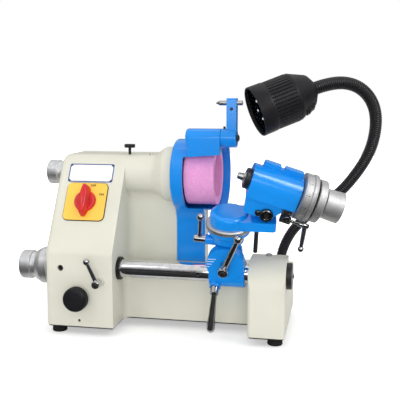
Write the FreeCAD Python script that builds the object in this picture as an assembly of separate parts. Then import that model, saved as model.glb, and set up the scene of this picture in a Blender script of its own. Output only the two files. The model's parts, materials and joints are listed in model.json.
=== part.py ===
import FreeCAD
import Part
import math
import os

# Bench-top tool and cutter grinder for drills, end mills and engraving cutters.
# A cream casting carries a belt-driven cup wheel under a blue hood. A chrome guide
# bar in front of it holds the work-head support, and a lamp stands on a ribbed neck.
# Millimetres. X runs to the right, Y to the back and Z up. The origin is the middle
# of the underside, and the rubber feet stand below it.

V = FreeCAD.Vector
AX = V(1, 0, 0)
AY = V(0, 1, 0)
AZ = V(0, 0, 1)

# Casting
BASE_LENGTH = 393.0
BASE_DEPTH = 200.0
COLUMN_WIDTH = 116.0
PANEL_SLOPE = 30.0
WALL = 8.0
BACK_ROUND = 30.0
SIDE_ROUND = 10.0
BEND_ROUND = 12.0
RECESS_DEPTH = 66.0
BED_HEIGHT = 82.0
END_COLUMN_WIDTH = 58.5
END_COLUMN_HEIGHT = 122.0
END_COLUMN_DEPTH = 74.0
END_COLUMN_ROUND = 45.0
END_EDGE_ROUND = 6.0
HOUSING_LENGTH = 83.0
HOUSING_RADIUS = 32.5
HOUSING_FRONT = 4.0
FLARE_RADIUS = 46.5
FLARE_START = 40.0
FLARE_LENGTH = 26.0
COVE_RADIUS = 25.0
CORNER_COVE = 13.0
WEB_LENGTH = 50.0
WEB_DEPTH = 24.0
WEB_CLEAR = 1.0
PLATE = 3.0
PLATE_INSET = 1.5
EMBOSS = 0.8
FOOT_RADIUS = 12.5
FOOT_HEIGHT = 12.8
FOOT_INSET = 16.0
COVER = 3.0
COVER_RIM = 10.0
COVER_LOW = 20.0
COVER_HIGH = 182.0

# Wheel spindle and quill
SPINDLE_SETBACK = 107.7
SPINDLE_HEIGHT = 246.0
SPINDLE_RADIUS = 10.0
QUILL_RADIUS = 24.0
QUILL_BOSS = 12.0
QUILL_NOSE = 4.0
BEARING_RADIUS = 17.0
BEARING_LENGTH = 12.0
WHEEL_RADIUS = 50.0
WHEEL_LENGTH = 50.0
WHEEL_WALL = 12.0
WHEEL_OFFSET = 21.0
FLANGE_RADIUS = 22.0
FLANGE_LENGTH = 14.0
NUT_RADIUS = 13.5
NUT_LENGTH = 10.0

# Belt drive
MOTOR_FRONT_ROOM = 5.3
MOTOR_BACK_ROOM = 3.0
MOTOR_HEIGHT = 72.0
MOTOR_LENGTH = 62.0
MOTOR_SHAFT_RADIUS = 8.0
PULLEY_LENGTH = 18.0
PULLEY_INSET = 16.0
SPINDLE_PULLEY_RADIUS = 14.0
MOTOR_PULLEY_RADIUS = 26.0
BELT_WIDTH = 10.0
BELT_THICKNESS = 3.0

# Hood and wheel dresser
HOOD_RADIUS = 60.0
HOOD_LENGTH = 83.0
HOOD_WALL = 5.0
HOOD_BACK = 6.0
HOOD_HOLE = 27.0
HOOD_SHOULDER = 5.0
HOOD_BAND = 21.0
WINDOW_HIGH_LEFT = 33.0
WINDOW_HIGH_RIGHT = 38.5
SKIRT = 6.0
SKIRT_LOW = 98.0
SKIRT_COVE = 34.0
TUBE_RADIUS = 15.0
TUBE_BORE = 7.0
TUBE_INSET = 26.0
TUBE_FORWARD = 43.7
TUBE_RISE = 64.4
ARM_WIDTH = 16.0
ARM_START = 9.5
ARM_THICKNESS = 16.0
ARM_RISE = 63.3
ROD_RISE = 55.7
ROD_RADIUS = 4.0
ROD_LENGTH = 43.0
ROD_STANDOFF = 3.6

# Guide bar and its feed
BAR_SETBACK = 35.0
BAR_DROP = 26.5
BAR_RADIUS = 15.0
BAR_START = 58.0
BAR_END_INSET = 15.0
SLEEVE_RADIUS = 19.0
SLEEVE_START = 24.0
SLEEVE_NOSE = 5.5
SLEEVE_BOSS = 26.0
FEED_SCREW_RADIUS = 8.0
FEED_KNOB_RADIUS = 24.0
COLLAR_RADIUS = 30.5
COLLAR_LENGTH = 23.0
CAP_RADIUS = 21.0
CAP_LENGTH = 8.5

# Controls on the left column
QUILL_KNOB_RADIUS = 21.0
QUILL_NECK_RADIUS = 19.0
QUILL_STEM_RADIUS = 6.0
INFEED_X = 58.5
INFEED_Z = 53.0
INFEED_RADIUS = 20.0
LOCK_X = 95.0
LOCK_DROP = 15.5
SWITCH_X = 57.0
SWITCH_S = 90.6
SWITCH_WIDE = 70.0
SWITCH_TALL = 66.0
SWITCH_PLATE = 2.5
NAME_X = 58.5
NAME_S = 143.0
NAME_WIDE = 79.0
NAME_TALL = 34.0
NAME_PLATE = 1.2

# Work-head support: bracket on the bar, tilting neck, swivelling arm, tilting head
BRACKET_INSET = 35.5
BRACKET_ROLL = 20.0
BRACKET_HALF = 28.5
BARREL_RADIUS = 21.5
DISC_RADIUS = 29.5
DISC_RISE = 30.0
DISC_FRONT = 24.0
FORK_FRONT = 6.0
FORK_BACK = 14.3
FORK_END = 22.0
NECK_TILT = 5.0
TONGUE_RADIUS = 10.0
NECK_RADIUS = 26.5
NECK_FLANGE = 34.0
NECK_LOW = 31.0
RING_RADIUS = 36.0
RING_LOW = 56.0
RING_HIGH = 63.0
SWIVEL_Y = 5.0
SWIVEL_ANGLE = 6.0
SWIVEL_PIN = 12.0
DOME_RADIUS = 30.0
DOME_HEIGHT = 19.0
ARM_PLATE = 15.0
ARM_REACH = 55.5
ARM_END = 72.0
ARM_HALF = 26.0
PIVOT_RISE = 28.0
CHEEK_FRONT = -6.0
CHEEK_BACK = 18.0
CHEEK_RADIUS = 16.0
HEAD_TILT = 16.7
HEAD_RISE = 37.6
HEAD_RADIUS = 26.0
HEAD_LEFT = -40.0
HEAD_RIGHT = 36.6
HEAD_FLAT = 17.6
KNUCKLE_FRONT = 21.0
WORK_RADIUS = 14.0
INDEX_RADIUS = 37.0
CLAMP_RADIUS = 33.0
CUP_RADIUS = 24.0
CUP_BORE = 18.0
COLLET_BORE = 3.0

# Lamp and ribbed neck
SOCKET_INSET = 15.0
SOCKET_SETBACK = 96.0
SOCKET_HEIGHT = 18.0
SOCKET_RADIUS = 16.0
NECK_FOOT = 8.0
NECK_TUBE = 10.0
NECK_GROOVE = 1.2
NECK_BORE = 5.0
NECK_PLUG = 7.0
RIB_COUNT = 60
LAMP_LEAN = 33.0
LAMP_FORWARD = 106.0
LAMP_RISE = 271.0
LAMP_RADIUS = 38.0
LAMP_LENGTH = 98.0
LAMP_RING = 64.0
LAMP_KNEE = 90.0
KNEE_RADIUS = 24.0
LAMP_RIBS = 24

# Clearances
RUN = 0.05
SEAT = 0.02
GAP = 0.3

# Positions that follow from the sizes
LEFT = -BASE_LENGTH / 2
RIGHT = BASE_LENGTH / 2
FRONT = -BASE_DEPTH / 2
BACK = BASE_DEPTH / 2
COLUMN_RIGHT = LEFT + COLUMN_WIDTH
HOOD_LEFT = COLUMN_RIGHT + HOUSING_LENGTH
HOOD_RIGHT = HOOD_LEFT + HOOD_LENGTH
WEB_RIGHT = HOOD_LEFT + WEB_LENGTH
END_LEFT = RIGHT - END_COLUMN_WIDTH
END_BACK = FRONT + END_COLUMN_DEPTH
SPINDLE_Y = FRONT + SPINDLE_SETBACK
HOUSING_Y = SPINDLE_Y - HOUSING_FRONT
SKIRT_Y = HOUSING_Y - SKIRT
BED_Y = FRONT + RECESS_DEPTH
BAR_Y = FRONT + BAR_SETBACK
BAR_HEIGHT = END_COLUMN_HEIGHT - BAR_DROP
LOCK_Z = BAR_HEIGHT - LOCK_DROP
TOP = SPINDLE_HEIGHT + HOUSING_RADIUS
WEB_TOP = SPINDLE_HEIGHT - HOOD_RADIUS - WEB_CLEAR
SLOPE_SIN = math.sin(math.radians(PANEL_SLOPE))
SLOPE_COS = math.cos(math.radians(PANEL_SLOPE))
BEND = SPINDLE_HEIGHT + (HOUSING_RADIUS - SLOPE_COS * SPINDLE_SETBACK) / SLOPE_SIN
QUILL_START = COLUMN_RIGHT - QUILL_BOSS
WHEEL_X = HOOD_LEFT + WHEEL_OFFSET
PULLEY_X = QUILL_START - PULLEY_INSET - PULLEY_LENGTH / 2
MOTOR_RADIUS = (BACK - HOUSING_Y - 2 * WALL - MOTOR_FRONT_ROOM - MOTOR_BACK_ROOM) / 2
MOTOR_Y = BACK - WALL - MOTOR_BACK_ROOM - MOTOR_RADIUS
MOTOR_X = COLUMN_RIGHT + 5.0
TUBE_LEFT = HOOD_LEFT + TUBE_INSET
TUBE_Y = SPINDLE_Y - TUBE_FORWARD
TUBE_Z = SPINDLE_HEIGHT + TUBE_RISE
BRACKET_X = END_LEFT - BRACKET_INSET
SOCKET = V(RIGHT - SOCKET_INSET, FRONT + SOCKET_SETBACK, BED_HEIGHT)


def along(direction, origin):
    """Frame whose X axis points along the direction."""
    return FreeCAD.Placement(origin, FreeCAD.Rotation(AX, direction))


SPINDLE = along(AX, V(0, SPINDLE_Y, SPINDLE_HEIGHT))
MOTOR = along(AX, V(0, MOTOR_Y, MOTOR_HEIGHT))
BAR = along(AX, V(0, BAR_Y, BAR_HEIGHT))
TUBE = along(AX, V(0, TUBE_Y, TUBE_Z))
PANEL = FreeCAD.Placement(V(LEFT, FRONT, BEND), FreeCAD.Rotation(AX, 90 - PANEL_SLOPE))
BRACKET = FreeCAD.Placement(V(BRACKET_X, BAR_Y, BAR_HEIGHT), FreeCAD.Rotation(AX, BRACKET_ROLL))
NECK = BRACKET * FreeCAD.Placement(V(0, 0, DISC_RISE), FreeCAD.Rotation(AY, NECK_TILT))
ARM = NECK * FreeCAD.Placement(V(0, SWIVEL_Y, RING_HIGH), FreeCAD.Rotation(AZ, SWIVEL_ANGLE))
HEAD = ARM * FreeCAD.Placement(V(ARM_REACH, 0, PIVOT_RISE), FreeCAD.Rotation(AY, HEAD_TILT))
WORK = HEAD * along(AX, V(0, 0, HEAD_RISE))
LAMP_AXIS = V(0.865, 0.357, 0.352).normalize()
LAMP_MOUTH = SOCKET + V(-LAMP_LEAN, -LAMP_FORWARD, LAMP_RISE)
LAMP = along(LAMP_AXIS, LAMP_MOUTH)


def placed(shape, frame):
    """Copy of a shape, moved into a frame."""
    copy = shape.copy()
    copy.Placement = frame * copy.Placement
    return copy


def block(x0, x1, y0, y1, z0, z1):
    return Part.makeBox(x1 - x0, y1 - y0, z1 - z0, V(x0, y0, z0))


def rod(radius, start, end):
    return Part.makeCylinder(radius, (end - start).Length, start, end - start)


def fused(shapes):
    return shapes[0].multiFuse(shapes[1:]).removeSplitter()


def cut(shape, tools):
    return shape.cut(tools).removeSplitter()


def outline(corners, put):
    """Face with straight sides and corners given as (a, b, round)."""
    points = [V(a, b, 0) for a, b, _ in corners]
    bends = []
    for number, (_, _, radius) in enumerate(corners):
        here = points[number]
        if not radius:
            bends.append((here, None, here))
            continue
        back = (points[number - 1] - here).normalize()
        ahead = (points[(number + 1) % len(points)] - here).normalize()
        half = back.getAngle(ahead) / 2
        reach = radius / math.tan(half)
        inward = (back + ahead).normalize()
        middle = here + inward * (radius / math.sin(half) - radius)
        bends.append((here + back * reach, middle, here + ahead * reach))
    edges = []
    for number, (start, middle, end) in enumerate(bends):
        if middle is not None:
            edges.append(Part.Arc(put(start), put(middle), put(end)).toShape())
        following = bends[(number + 1) % len(bends)][0]
        if (following - end).Length > 1e-6:
            edges.append(Part.makeLine(put(end), put(following)))
    return Part.Face(Part.Wire(edges))


def slab_x(corners, x0, x1):
    """Outline in (y, z), thickened along X."""
    return outline(corners, lambda p: V(x0, p.x, p.y)).extrude(V(x1 - x0, 0, 0))


def slab_y(corners, y0, y1):
    """Outline in (x, z), thickened along Y."""
    return outline(corners, lambda p: V(p.x, y0, p.y)).extrude(V(0, y1 - y0, 0))


def slab_z(corners, z0, z1):
    """Outline in (x, y), thickened along Z."""
    return outline(corners, lambda p: V(p.x, p.y, z0)).extrude(V(0, 0, z1 - z0))


def turned(corners, frame):
    """Outline in (x, radius), turned about the frame's X axis."""
    face = outline(corners, lambda p: V(p.x, 0, p.y))
    return placed(face.revolve(V(0, 0, 0), AX, 360), frame)


def box_corners(a0, a1, b0, b1, radius):
    return [(a0, b0, radius), (a1, b0, radius), (a1, b1, radius), (a0, b1, radius)]


def cove_points(radius, wall_y, cove):
    """Where a cove leaves the wall and where it meets the round above it."""
    reach = SPINDLE_Y - wall_y + cove
    drop = math.sqrt((radius + cove) ** 2 - reach ** 2)
    level = SPINDLE_HEIGHT - drop
    share = radius / (radius + cove)
    start = V(0, wall_y, level)
    touch = V(0, SPINDLE_Y - reach * share, SPINDLE_HEIGHT - drop * share)
    centre = V(0, wall_y - cove, level)
    middle = centre + (start + touch - centre * 2).normalize() * cove
    return start, middle, touch


def housing():
    """Keyhole section: wall, cove, round quill barrel, flat top and rounded back."""
    start, middle, touch = cove_points(HOUSING_RADIUS, HOUSING_Y, COVE_RADIUS)
    crown = V(0, SPINDLE_Y, TOP)
    front = V(0, SPINDLE_Y - HOUSING_RADIUS, SPINDLE_HEIGHT)
    rear = V(0, BACK - BACK_ROUND, TOP)
    turn = V(0, BACK - BACK_ROUND * (1 - math.sqrt(0.5)), TOP - BACK_ROUND * (1 - math.sqrt(0.5)))
    drop = V(0, BACK, TOP - BACK_ROUND)
    heel = V(0, BACK, PLATE)
    foot = V(0, HOUSING_Y, PLATE)
    edges = [
        Part.makeLine(foot, start),
        Part.Arc(start, middle, touch).toShape(),
        Part.Arc(touch, front, crown).toShape(),
        Part.makeLine(crown, rear),
        Part.Arc(rear, turn, drop).toShape(),
        Part.makeLine(drop, heel),
        Part.makeLine(heel, foot),
    ]
    body = Part.Face(Part.Wire(edges)).extrude(V(HOUSING_LENGTH, 0, 0))
    return placed(body, along(AX, V(COLUMN_RIGHT, 0, 0)))


def column():
    """Left column: upright front, sloped panel, crown round the spindle line."""
    panel_top = SPINDLE_Y - HOUSING_RADIUS * (1 - SLOPE_SIN) / SLOPE_COS
    body = slab_x([
        (FRONT, PLATE, 0),
        (FRONT, BEND, BEND_ROUND),
        (panel_top, TOP, HOUSING_RADIUS),
        (BACK, TOP, BACK_ROUND),
        (BACK, PLATE, 0),
    ], LEFT, COLUMN_RIGHT)
    soft = []
    for edge in body.Edges:
        on_left = all(abs(point.X - LEFT) < 1e-6 for point in edge.Vertexes)
        if on_left and max(point.Z for point in edge.Vertexes) > PLATE + 1:
            soft.append(edge)
    return body.makeFillet(SIDE_ROUND, soft)


def column_hollow():
    """Inside of the left column, one wall thickness in from its outline."""
    low = BEND - WALL * (1 - SLOPE_COS) / SLOPE_SIN
    high = FRONT + (WALL + SLOPE_SIN * (TOP - WALL - BEND)) / SLOPE_COS
    return slab_x([
        (FRONT + WALL, PLATE - 1, 0),
        (FRONT + WALL, low, 0),
        (high, TOP - WALL, HOUSING_RADIUS - WALL),
        (BACK - WALL, TOP - WALL, BACK_ROUND - WALL),
        (BACK - WALL, PLATE - 1, 0),
    ], LEFT + WALL, COLUMN_RIGHT - WALL)


def end_column():
    """Right column with its large rounded brow."""
    side = slab_x([
        (FRONT, PLATE, 0),
        (FRONT, END_COLUMN_HEIGHT, END_COLUMN_ROUND),
        (END_BACK, END_COLUMN_HEIGHT, END_EDGE_ROUND),
        (END_BACK, PLATE, 0),
    ], END_LEFT, RIGHT)
    plan = slab_z([
        (END_LEFT, FRONT, END_EDGE_ROUND),
        (RIGHT, FRONT, END_EDGE_ROUND),
        (RIGHT, END_BACK, 0),
        (END_LEFT, END_BACK, 0),
    ], PLATE, END_COLUMN_HEIGHT)
    return side.common(plan)


def corner_cove(y, z0, z1):
    """Hollow-rounded filling of the upright corner between the left column and a wall."""
    reach = CORNER_COVE
    filling = block(COLUMN_RIGHT - 1, COLUMN_RIGHT + reach, y - reach, y + 1, z0, z1)
    centre = V(COLUMN_RIGHT + reach, y - reach, z0 - 1)
    return filling.cut(rod(reach, centre, centre + AZ * (z1 - z0 + 2)))


def base_casting():
    flare = turned([
        (FLARE_START, 0, 0),
        (FLARE_START, HOUSING_RADIUS - 0.5, 0),
        (FLARE_START + FLARE_LENGTH * 0.25, HOUSING_RADIUS, 18),
        (FLARE_START + FLARE_LENGTH, FLARE_RADIUS, 14),
        (HOUSING_LENGTH, FLARE_RADIUS, 0),
        (HOUSING_LENGTH, 0, 0),
    ], along(AX, V(COLUMN_RIGHT, SPINDLE_Y, SPINDLE_HEIGHT)))
    bed = block(COLUMN_RIGHT, RIGHT, BED_Y, BACK, PLATE, BED_HEIGHT)
    web = block(HOOD_LEFT, WEB_RIGHT, HOUSING_Y, HOUSING_Y + WEB_DEPTH, BED_HEIGHT - 1, WEB_TOP)
    coves = [
        corner_cove(BED_Y, PLATE, BED_HEIGHT),
        corner_cove(HOUSING_Y, BED_HEIGHT - 1, SPINDLE_HEIGHT - 25),
    ]
    body = fused([column(), housing(), flare, bed, web, end_column()] + coves)

    bay_top = WEB_TOP - 5
    hollows = [
        column_hollow(),
        block(COLUMN_RIGHT - WALL - 1, HOOD_LEFT - WALL, HOUSING_Y + WALL, BACK - WALL, PLATE - 1, bay_top),
        block(COLUMN_RIGHT - WALL - 1, RIGHT - WALL, BED_Y + WALL, BACK - WALL, PLATE - 1, BED_HEIGHT - WALL),
        block(LEFT + 3 * COVER_RIM, HOOD_LEFT - 2 * COVER_RIM, BACK - WALL - 1, BACK + 1,
              COVER_LOW + COVER_RIM, COVER_HIGH - COVER_RIM),
        block(LEFT + 2 * COVER_RIM, HOOD_LEFT - COVER_RIM, BACK - COVER, BACK + 1, COVER_LOW, COVER_HIGH),
    ]
    body = cut(body, hollows)

    lock = V(LEFT + LOCK_X, FRONT, LOCK_Z)
    bosses = [
        rod(SLEEVE_BOSS, V(LEFT + 44, BAR_Y, BAR_HEIGHT), V(COLUMN_RIGHT - 1, BAR_Y, BAR_HEIGHT)),
        rod(HOUSING_RADIUS - 1, V(QUILL_START, SPINDLE_Y, SPINDLE_HEIGHT),
            V(COLUMN_RIGHT - 1, SPINDLE_Y, SPINDLE_HEIGHT)),
        rod(16, V(LEFT + 1, BAR_Y, BAR_HEIGHT), V(LEFT + 14, BAR_Y, BAR_HEIGHT)),
        rod(14, V(LEFT + 1, SPINDLE_Y, SPINDLE_HEIGHT), V(LEFT + 20, SPINDLE_Y, SPINDLE_HEIGHT)),
        rod(7.5, lock - AY * 6, lock + AY),
    ]
    body = fused([body] + bosses)

    infeed = V(LEFT + INFEED_X, FRONT, INFEED_Z)
    switch = PANEL.multVec(V(SWITCH_X, SWITCH_S, 1))
    inward = PANEL.Rotation.multVec(-AZ)
    brow = V(END_LEFT + 27.5, END_BACK - 16, END_COLUMN_HEIGHT)
    bores = [
        rod(SLEEVE_RADIUS + RUN, V(LEFT + SLEEVE_START - 5, BAR_Y, BAR_HEIGHT),
            V(COLUMN_RIGHT + 1, BAR_Y, BAR_HEIGHT)),
        rod(FEED_SCREW_RADIUS + RUN, V(LEFT - 1, BAR_Y, BAR_HEIGHT), V(LEFT + 16, BAR_Y, BAR_HEIGHT)),
        rod(QUILL_STEM_RADIUS + RUN, V(LEFT - 1, SPINDLE_Y, SPINDLE_HEIGHT),
            V(LEFT + 21, SPINDLE_Y, SPINDLE_HEIGHT)),
        rod(QUILL_RADIUS + RUN, V(QUILL_START - 1, SPINDLE_Y, SPINDLE_HEIGHT),
            V(HOOD_LEFT + 1, SPINDLE_Y, SPINDLE_HEIGHT)),
        rod(BAR_RADIUS + RUN, V(END_LEFT - 1, BAR_Y, BAR_HEIGHT), V(RIGHT + 1, BAR_Y, BAR_HEIGHT)),
        rod(2.5 + RUN, V(COLUMN_RIGHT - 0.5, SPINDLE_Y, SPINDLE_HEIGHT),
            V(COLUMN_RIGHT - 0.5, SPINDLE_Y, TOP + 1)),
        rod(3.0, V(COLUMN_RIGHT + FLARE_START - 3, SPINDLE_Y, TOP - 4),
            V(COLUMN_RIGHT + FLARE_START - 3, SPINDLE_Y, TOP + 1)),
        rod(4 + RUN, lock - AY * 7, lock + AY * (BAR_SETBACK - 10)),
        rod(6 + RUN, infeed - AY, infeed + AY * (WALL + 1)),
        rod(5.0, V(LEFT + 27.7, FRONT - 1, 99.6), V(LEFT + 27.7, FRONT + 5, 99.6)),
        rod(2.3, V(LEFT + 58.2, FRONT - 1, 13), V(LEFT + 58.2, FRONT + 5, 13)),
        rod(5.5, switch, switch + inward * (WALL + 3)),
        rod(3.0, brow - AZ * 8, brow + AZ),
    ]
    return cut(body, bores)


def bottom_plate():
    """Pressed plate: a rim under the casting and a raised panel between the feet."""
    i = PLATE_INSET
    rim = slab_z([
        (LEFT + i, FRONT + i, SIDE_ROUND - i),
        (COLUMN_RIGHT - i, FRONT + i, 0),
        (COLUMN_RIGHT - i, BED_Y + i, 0),
        (END_LEFT + i, BED_Y + i, 0),
        (END_LEFT + i, FRONT + i, END_EDGE_ROUND - i),
        (RIGHT - i, FRONT + i, END_EDGE_ROUND - i),
        (RIGHT - i, BACK - i, 0),
        (LEFT + i, BACK - i, SIDE_ROUND - i),
    ], EMBOSS, PLATE)
    clear = FOOT_INSET + FOOT_RADIUS + 6
    panel = slab_z(box_corners(LEFT + clear, RIGHT - clear, BED_Y + 8, BACK - 8, 12), 0, PLATE)
    return fused([rim, panel])


def rubber_feet():
    feet = []
    for x in (LEFT + FOOT_INSET, RIGHT - FOOT_INSET):
        for y in (FRONT + FOOT_INSET + 4, BACK - FOOT_INSET - 4):
            feet.append(turned([
                (0, 0, 0),
                (0, FOOT_RADIUS - 1.5, 0),
                (FOOT_HEIGHT, FOOT_RADIUS, 2),
                (FOOT_HEIGHT, 0, 0),
            ], along(-AZ, V(x, y, EMBOSS))))
    return Part.makeCompound(feet)


def rear_cover():
    x0 = LEFT + 2 * COVER_RIM + GAP
    x1 = HOOD_LEFT - COVER_RIM - GAP
    plate = slab_y(box_corners(x0, x1, COVER_LOW + GAP, COVER_HIGH - GAP, 2), BACK - COVER, BACK)
    return cut(plate, [rod(1.8, p + AY, p - AY * (COVER + 1)) for p in cover_points()])


def cover_points():
    points = []
    for x in (LEFT + 2.5 * COVER_RIM, (LEFT + HOOD_LEFT) / 2, HOOD_LEFT - 1.5 * COVER_RIM):
        for z in (COVER_LOW + COVER_RIM / 2, COVER_HIGH - COVER_RIM / 2):
            points.append(V(x, BACK, z))
    return points


def cover_screws():
    screws = []
    for point in cover_points():
        screws.append(turned([
            (-COVER, 0, 0),
            (-COVER, 1.7, 0),
            (0, 1.7, 0),
            (0, 3.6, 0),
            (2, 2.8, 0),
            (2, 0, 0),
        ], along(AY, point)))
    return Part.makeCompound(screws)


def quill_sleeve():
    start = QUILL_START
    end = HOOD_LEFT + QUILL_NOSE
    return turned([
        (start, BEARING_RADIUS + SEAT, 0),
        (start, QUILL_RADIUS, 1),
        (end, QUILL_RADIUS, 1),
        (end, BEARING_RADIUS + SEAT, 0),
    ], SPINDLE)


def spindle_bearings():
    races = []
    for x in (QUILL_START + 4, HOOD_LEFT + QUILL_NOSE - 4 - BEARING_LENGTH):
        races.append(turned([
            (x, SPINDLE_RADIUS + RUN, 0),
            (x, BEARING_RADIUS, 0),
            (x + BEARING_LENGTH, BEARING_RADIUS, 0),
            (x + BEARING_LENGTH, SPINDLE_RADIUS + RUN, 0),
        ], SPINDLE))
    return Part.makeCompound(races)


def spindle_shaft():
    end = WHEEL_X + WHEEL_WALL + 4 + NUT_LENGTH + 3
    return turned([
        (PULLEY_X - 4, 0, 0),
        (PULLEY_X - 4, SPINDLE_RADIUS, 1),
        (WHEEL_X - FLANGE_LENGTH, SPINDLE_RADIUS, 0),
        (WHEEL_X - FLANGE_LENGTH, FLANGE_RADIUS, 2),
        (WHEEL_X, FLANGE_RADIUS, 0),
        (WHEEL_X, SPINDLE_RADIUS, 0),
        (end, SPINDLE_RADIUS, 1.5),
        (end, 0, 0),
    ], SPINDLE)


def pulley(x, radius, bore, rim, frame):
    end = x + PULLEY_LENGTH
    return turned([
        (x, bore + SEAT, 0),
        (x, radius + rim, 0),
        (x + 2, radius + rim, 0),
        (x + 2, radius, 0),
        (end - 2, radius, 0),
        (end - 2, radius + rim, 0),
        (end, radius + rim, 0),
        (end, bore + SEAT, 0),
    ], frame)


def spindle_pulley():
    return turned([
        (PULLEY_X, SPINDLE_RADIUS + SEAT, 0),
        (PULLEY_X, SPINDLE_PULLEY_RADIUS, 0),
        (PULLEY_X + PULLEY_LENGTH, SPINDLE_PULLEY_RADIUS, 0),
        (PULLEY_X + PULLEY_LENGTH, SPINDLE_RADIUS + SEAT, 0),
    ], SPINDLE)


def motor_pulley():
    return pulley(PULLEY_X, MOTOR_PULLEY_RADIUS, MOTOR_SHAFT_RADIUS, 3, MOTOR)


def belt_loop(clear, x0, x1):
    """Face round both pulleys, bounded by two arcs and their outer tangents."""
    top = V(x0, SPINDLE_Y, SPINDLE_HEIGHT)
    low = V(x0, MOTOR_Y, MOTOR_HEIGHT)
    r_top = SPINDLE_PULLEY_RADIUS + clear
    r_low = MOTOR_PULLEY_RADIUS + clear
    down = (low - top).normalize()
    side = AX.cross(down)
    lean = math.asin((r_low - r_top) / (low - top).Length)
    ends = []
    for sign in (1, -1):
        ends.append(side * (sign * math.cos(lean)) - down * math.sin(lean))
    edges = [
        Part.Arc(top + ends[0] * r_top, top - down * r_top, top + ends[1] * r_top).toShape(),
        Part.makeLine(top + ends[1] * r_top, low + ends[1] * r_low),
        Part.Arc(low + ends[1] * r_low, low + down * r_low, low + ends[0] * r_low).toShape(),
        Part.makeLine(low + ends[0] * r_low, top + ends[0] * r_top),
    ]
    return Part.Face(Part.Wire(edges)).extrude(V(x1 - x0, 0, 0))


def drive_belt():
    middle = PULLEY_X + PULLEY_LENGTH / 2
    x0 = middle - BELT_WIDTH / 2
    x1 = middle + BELT_WIDTH / 2
    return belt_loop(GAP + BELT_THICKNESS, x0, x1).cut(belt_loop(GAP, x0 - 1, x1 + 1))


def motor_shaft():
    return rod(MOTOR_SHAFT_RADIUS, V(PULLEY_X - 2, MOTOR_Y, MOTOR_HEIGHT),
               V(MOTOR_X + MOTOR_LENGTH + 4, MOTOR_Y, MOTOR_HEIGHT))


def motor_frame():
    end = MOTOR_X + MOTOR_LENGTH
    bore = MOTOR_SHAFT_RADIUS + GAP
    shell = turned([
        (MOTOR_X, bore, 0),
        (MOTOR_X, MOTOR_RADIUS, 8),
        (end, MOTOR_RADIUS, 8),
        (end, bore, 0),
    ], MOTOR)
    half = MOTOR_RADIUS - 8
    foot = block(MOTOR_X + 10, end - 10, MOTOR_Y - half, MOTOR_Y + half, PLATE, MOTOR_HEIGHT)
    hole = rod(MOTOR_SHAFT_RADIUS + GAP, V(MOTOR_X, MOTOR_Y, MOTOR_HEIGHT), V(end, MOTOR_Y, MOTOR_HEIGHT))
    return fused([shell, foot.cut(hole)])


def grinding_wheel():
    inner = WHEEL_RADIUS - WHEEL_WALL
    return turned([
        (WHEEL_X, SPINDLE_RADIUS + SEAT, 0),
        (WHEEL_X, WHEEL_RADIUS, 2),
        (WHEEL_X + WHEEL_LENGTH, WHEEL_RADIUS, 0),
        (WHEEL_X + WHEEL_LENGTH, inner, 0),
        (WHEEL_X + WHEEL_WALL, inner, 3),
        (WHEEL_X + WHEEL_WALL, SPINDLE_RADIUS + SEAT, 0),
    ], SPINDLE)


def wheel_nut():
    x = WHEEL_X + WHEEL_WALL
    washer = turned([
        (x, SPINDLE_RADIUS + SEAT, 0),
        (x, FLANGE_RADIUS - 2, 0),
        (x + 4, FLANGE_RADIUS - 2, 0),
        (x + 4, SPINDLE_RADIUS + SEAT, 0),
    ], SPINDLE)
    points = [V(x + 4, NUT_RADIUS * math.cos(k * math.pi / 3), NUT_RADIUS * math.sin(k * math.pi / 3))
              for k in range(7)]
    hexagon = Part.Face(Part.makePolygon(points)).extrude(AX * NUT_LENGTH)
    hexagon = placed(hexagon, SPINDLE)
    bore = rod(SPINDLE_RADIUS + SEAT, V(x, SPINDLE_Y, SPINDLE_HEIGHT), V(x + 30, SPINDLE_Y, SPINDLE_HEIGHT))
    return fused([washer, hexagon.cut(bore)])


def quill_knob():
    return turned([
        (LEFT - 30, 0, 0),
        (LEFT - 30, QUILL_KNOB_RADIUS, 2),
        (LEFT - 11, QUILL_KNOB_RADIUS, 1),
        (LEFT - 11, QUILL_NECK_RADIUS, 0),
        (LEFT - GAP, QUILL_NECK_RADIUS, 0),
        (LEFT - GAP, QUILL_STEM_RADIUS, 0),
        (PULLEY_X - 9, QUILL_STEM_RADIUS, 1),
        (PULLEY_X - 9, 0, 0),
    ], SPINDLE)


def quill_lock_screw():
    x = COLUMN_RIGHT - 0.5
    stem = rod(2.5, V(x, SPINDLE_Y, SPINDLE_HEIGHT + QUILL_RADIUS + 0.5), V(x, SPINDLE_Y, TOP + 9))
    head = slab_y(box_corners(x - 8.5, x + 8.5, TOP + 8, TOP + 14, 2), SPINDLE_Y - 4, SPINDLE_Y + 4)
    return fused([stem, head])


def oil_cup():
    return turned([
        (-4, 0, 0),
        (-4, 3.0 - SEAT, 0),
        (0.6, 3.0 - SEAT, 0),
        (0.6, 2.2, 0),
        (2.2, 1.6, 0),
        (2.2, 0, 0),
    ], along(AZ, V(COLUMN_RIGHT + FLARE_START - 3, SPINDLE_Y, TOP)))


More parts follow.
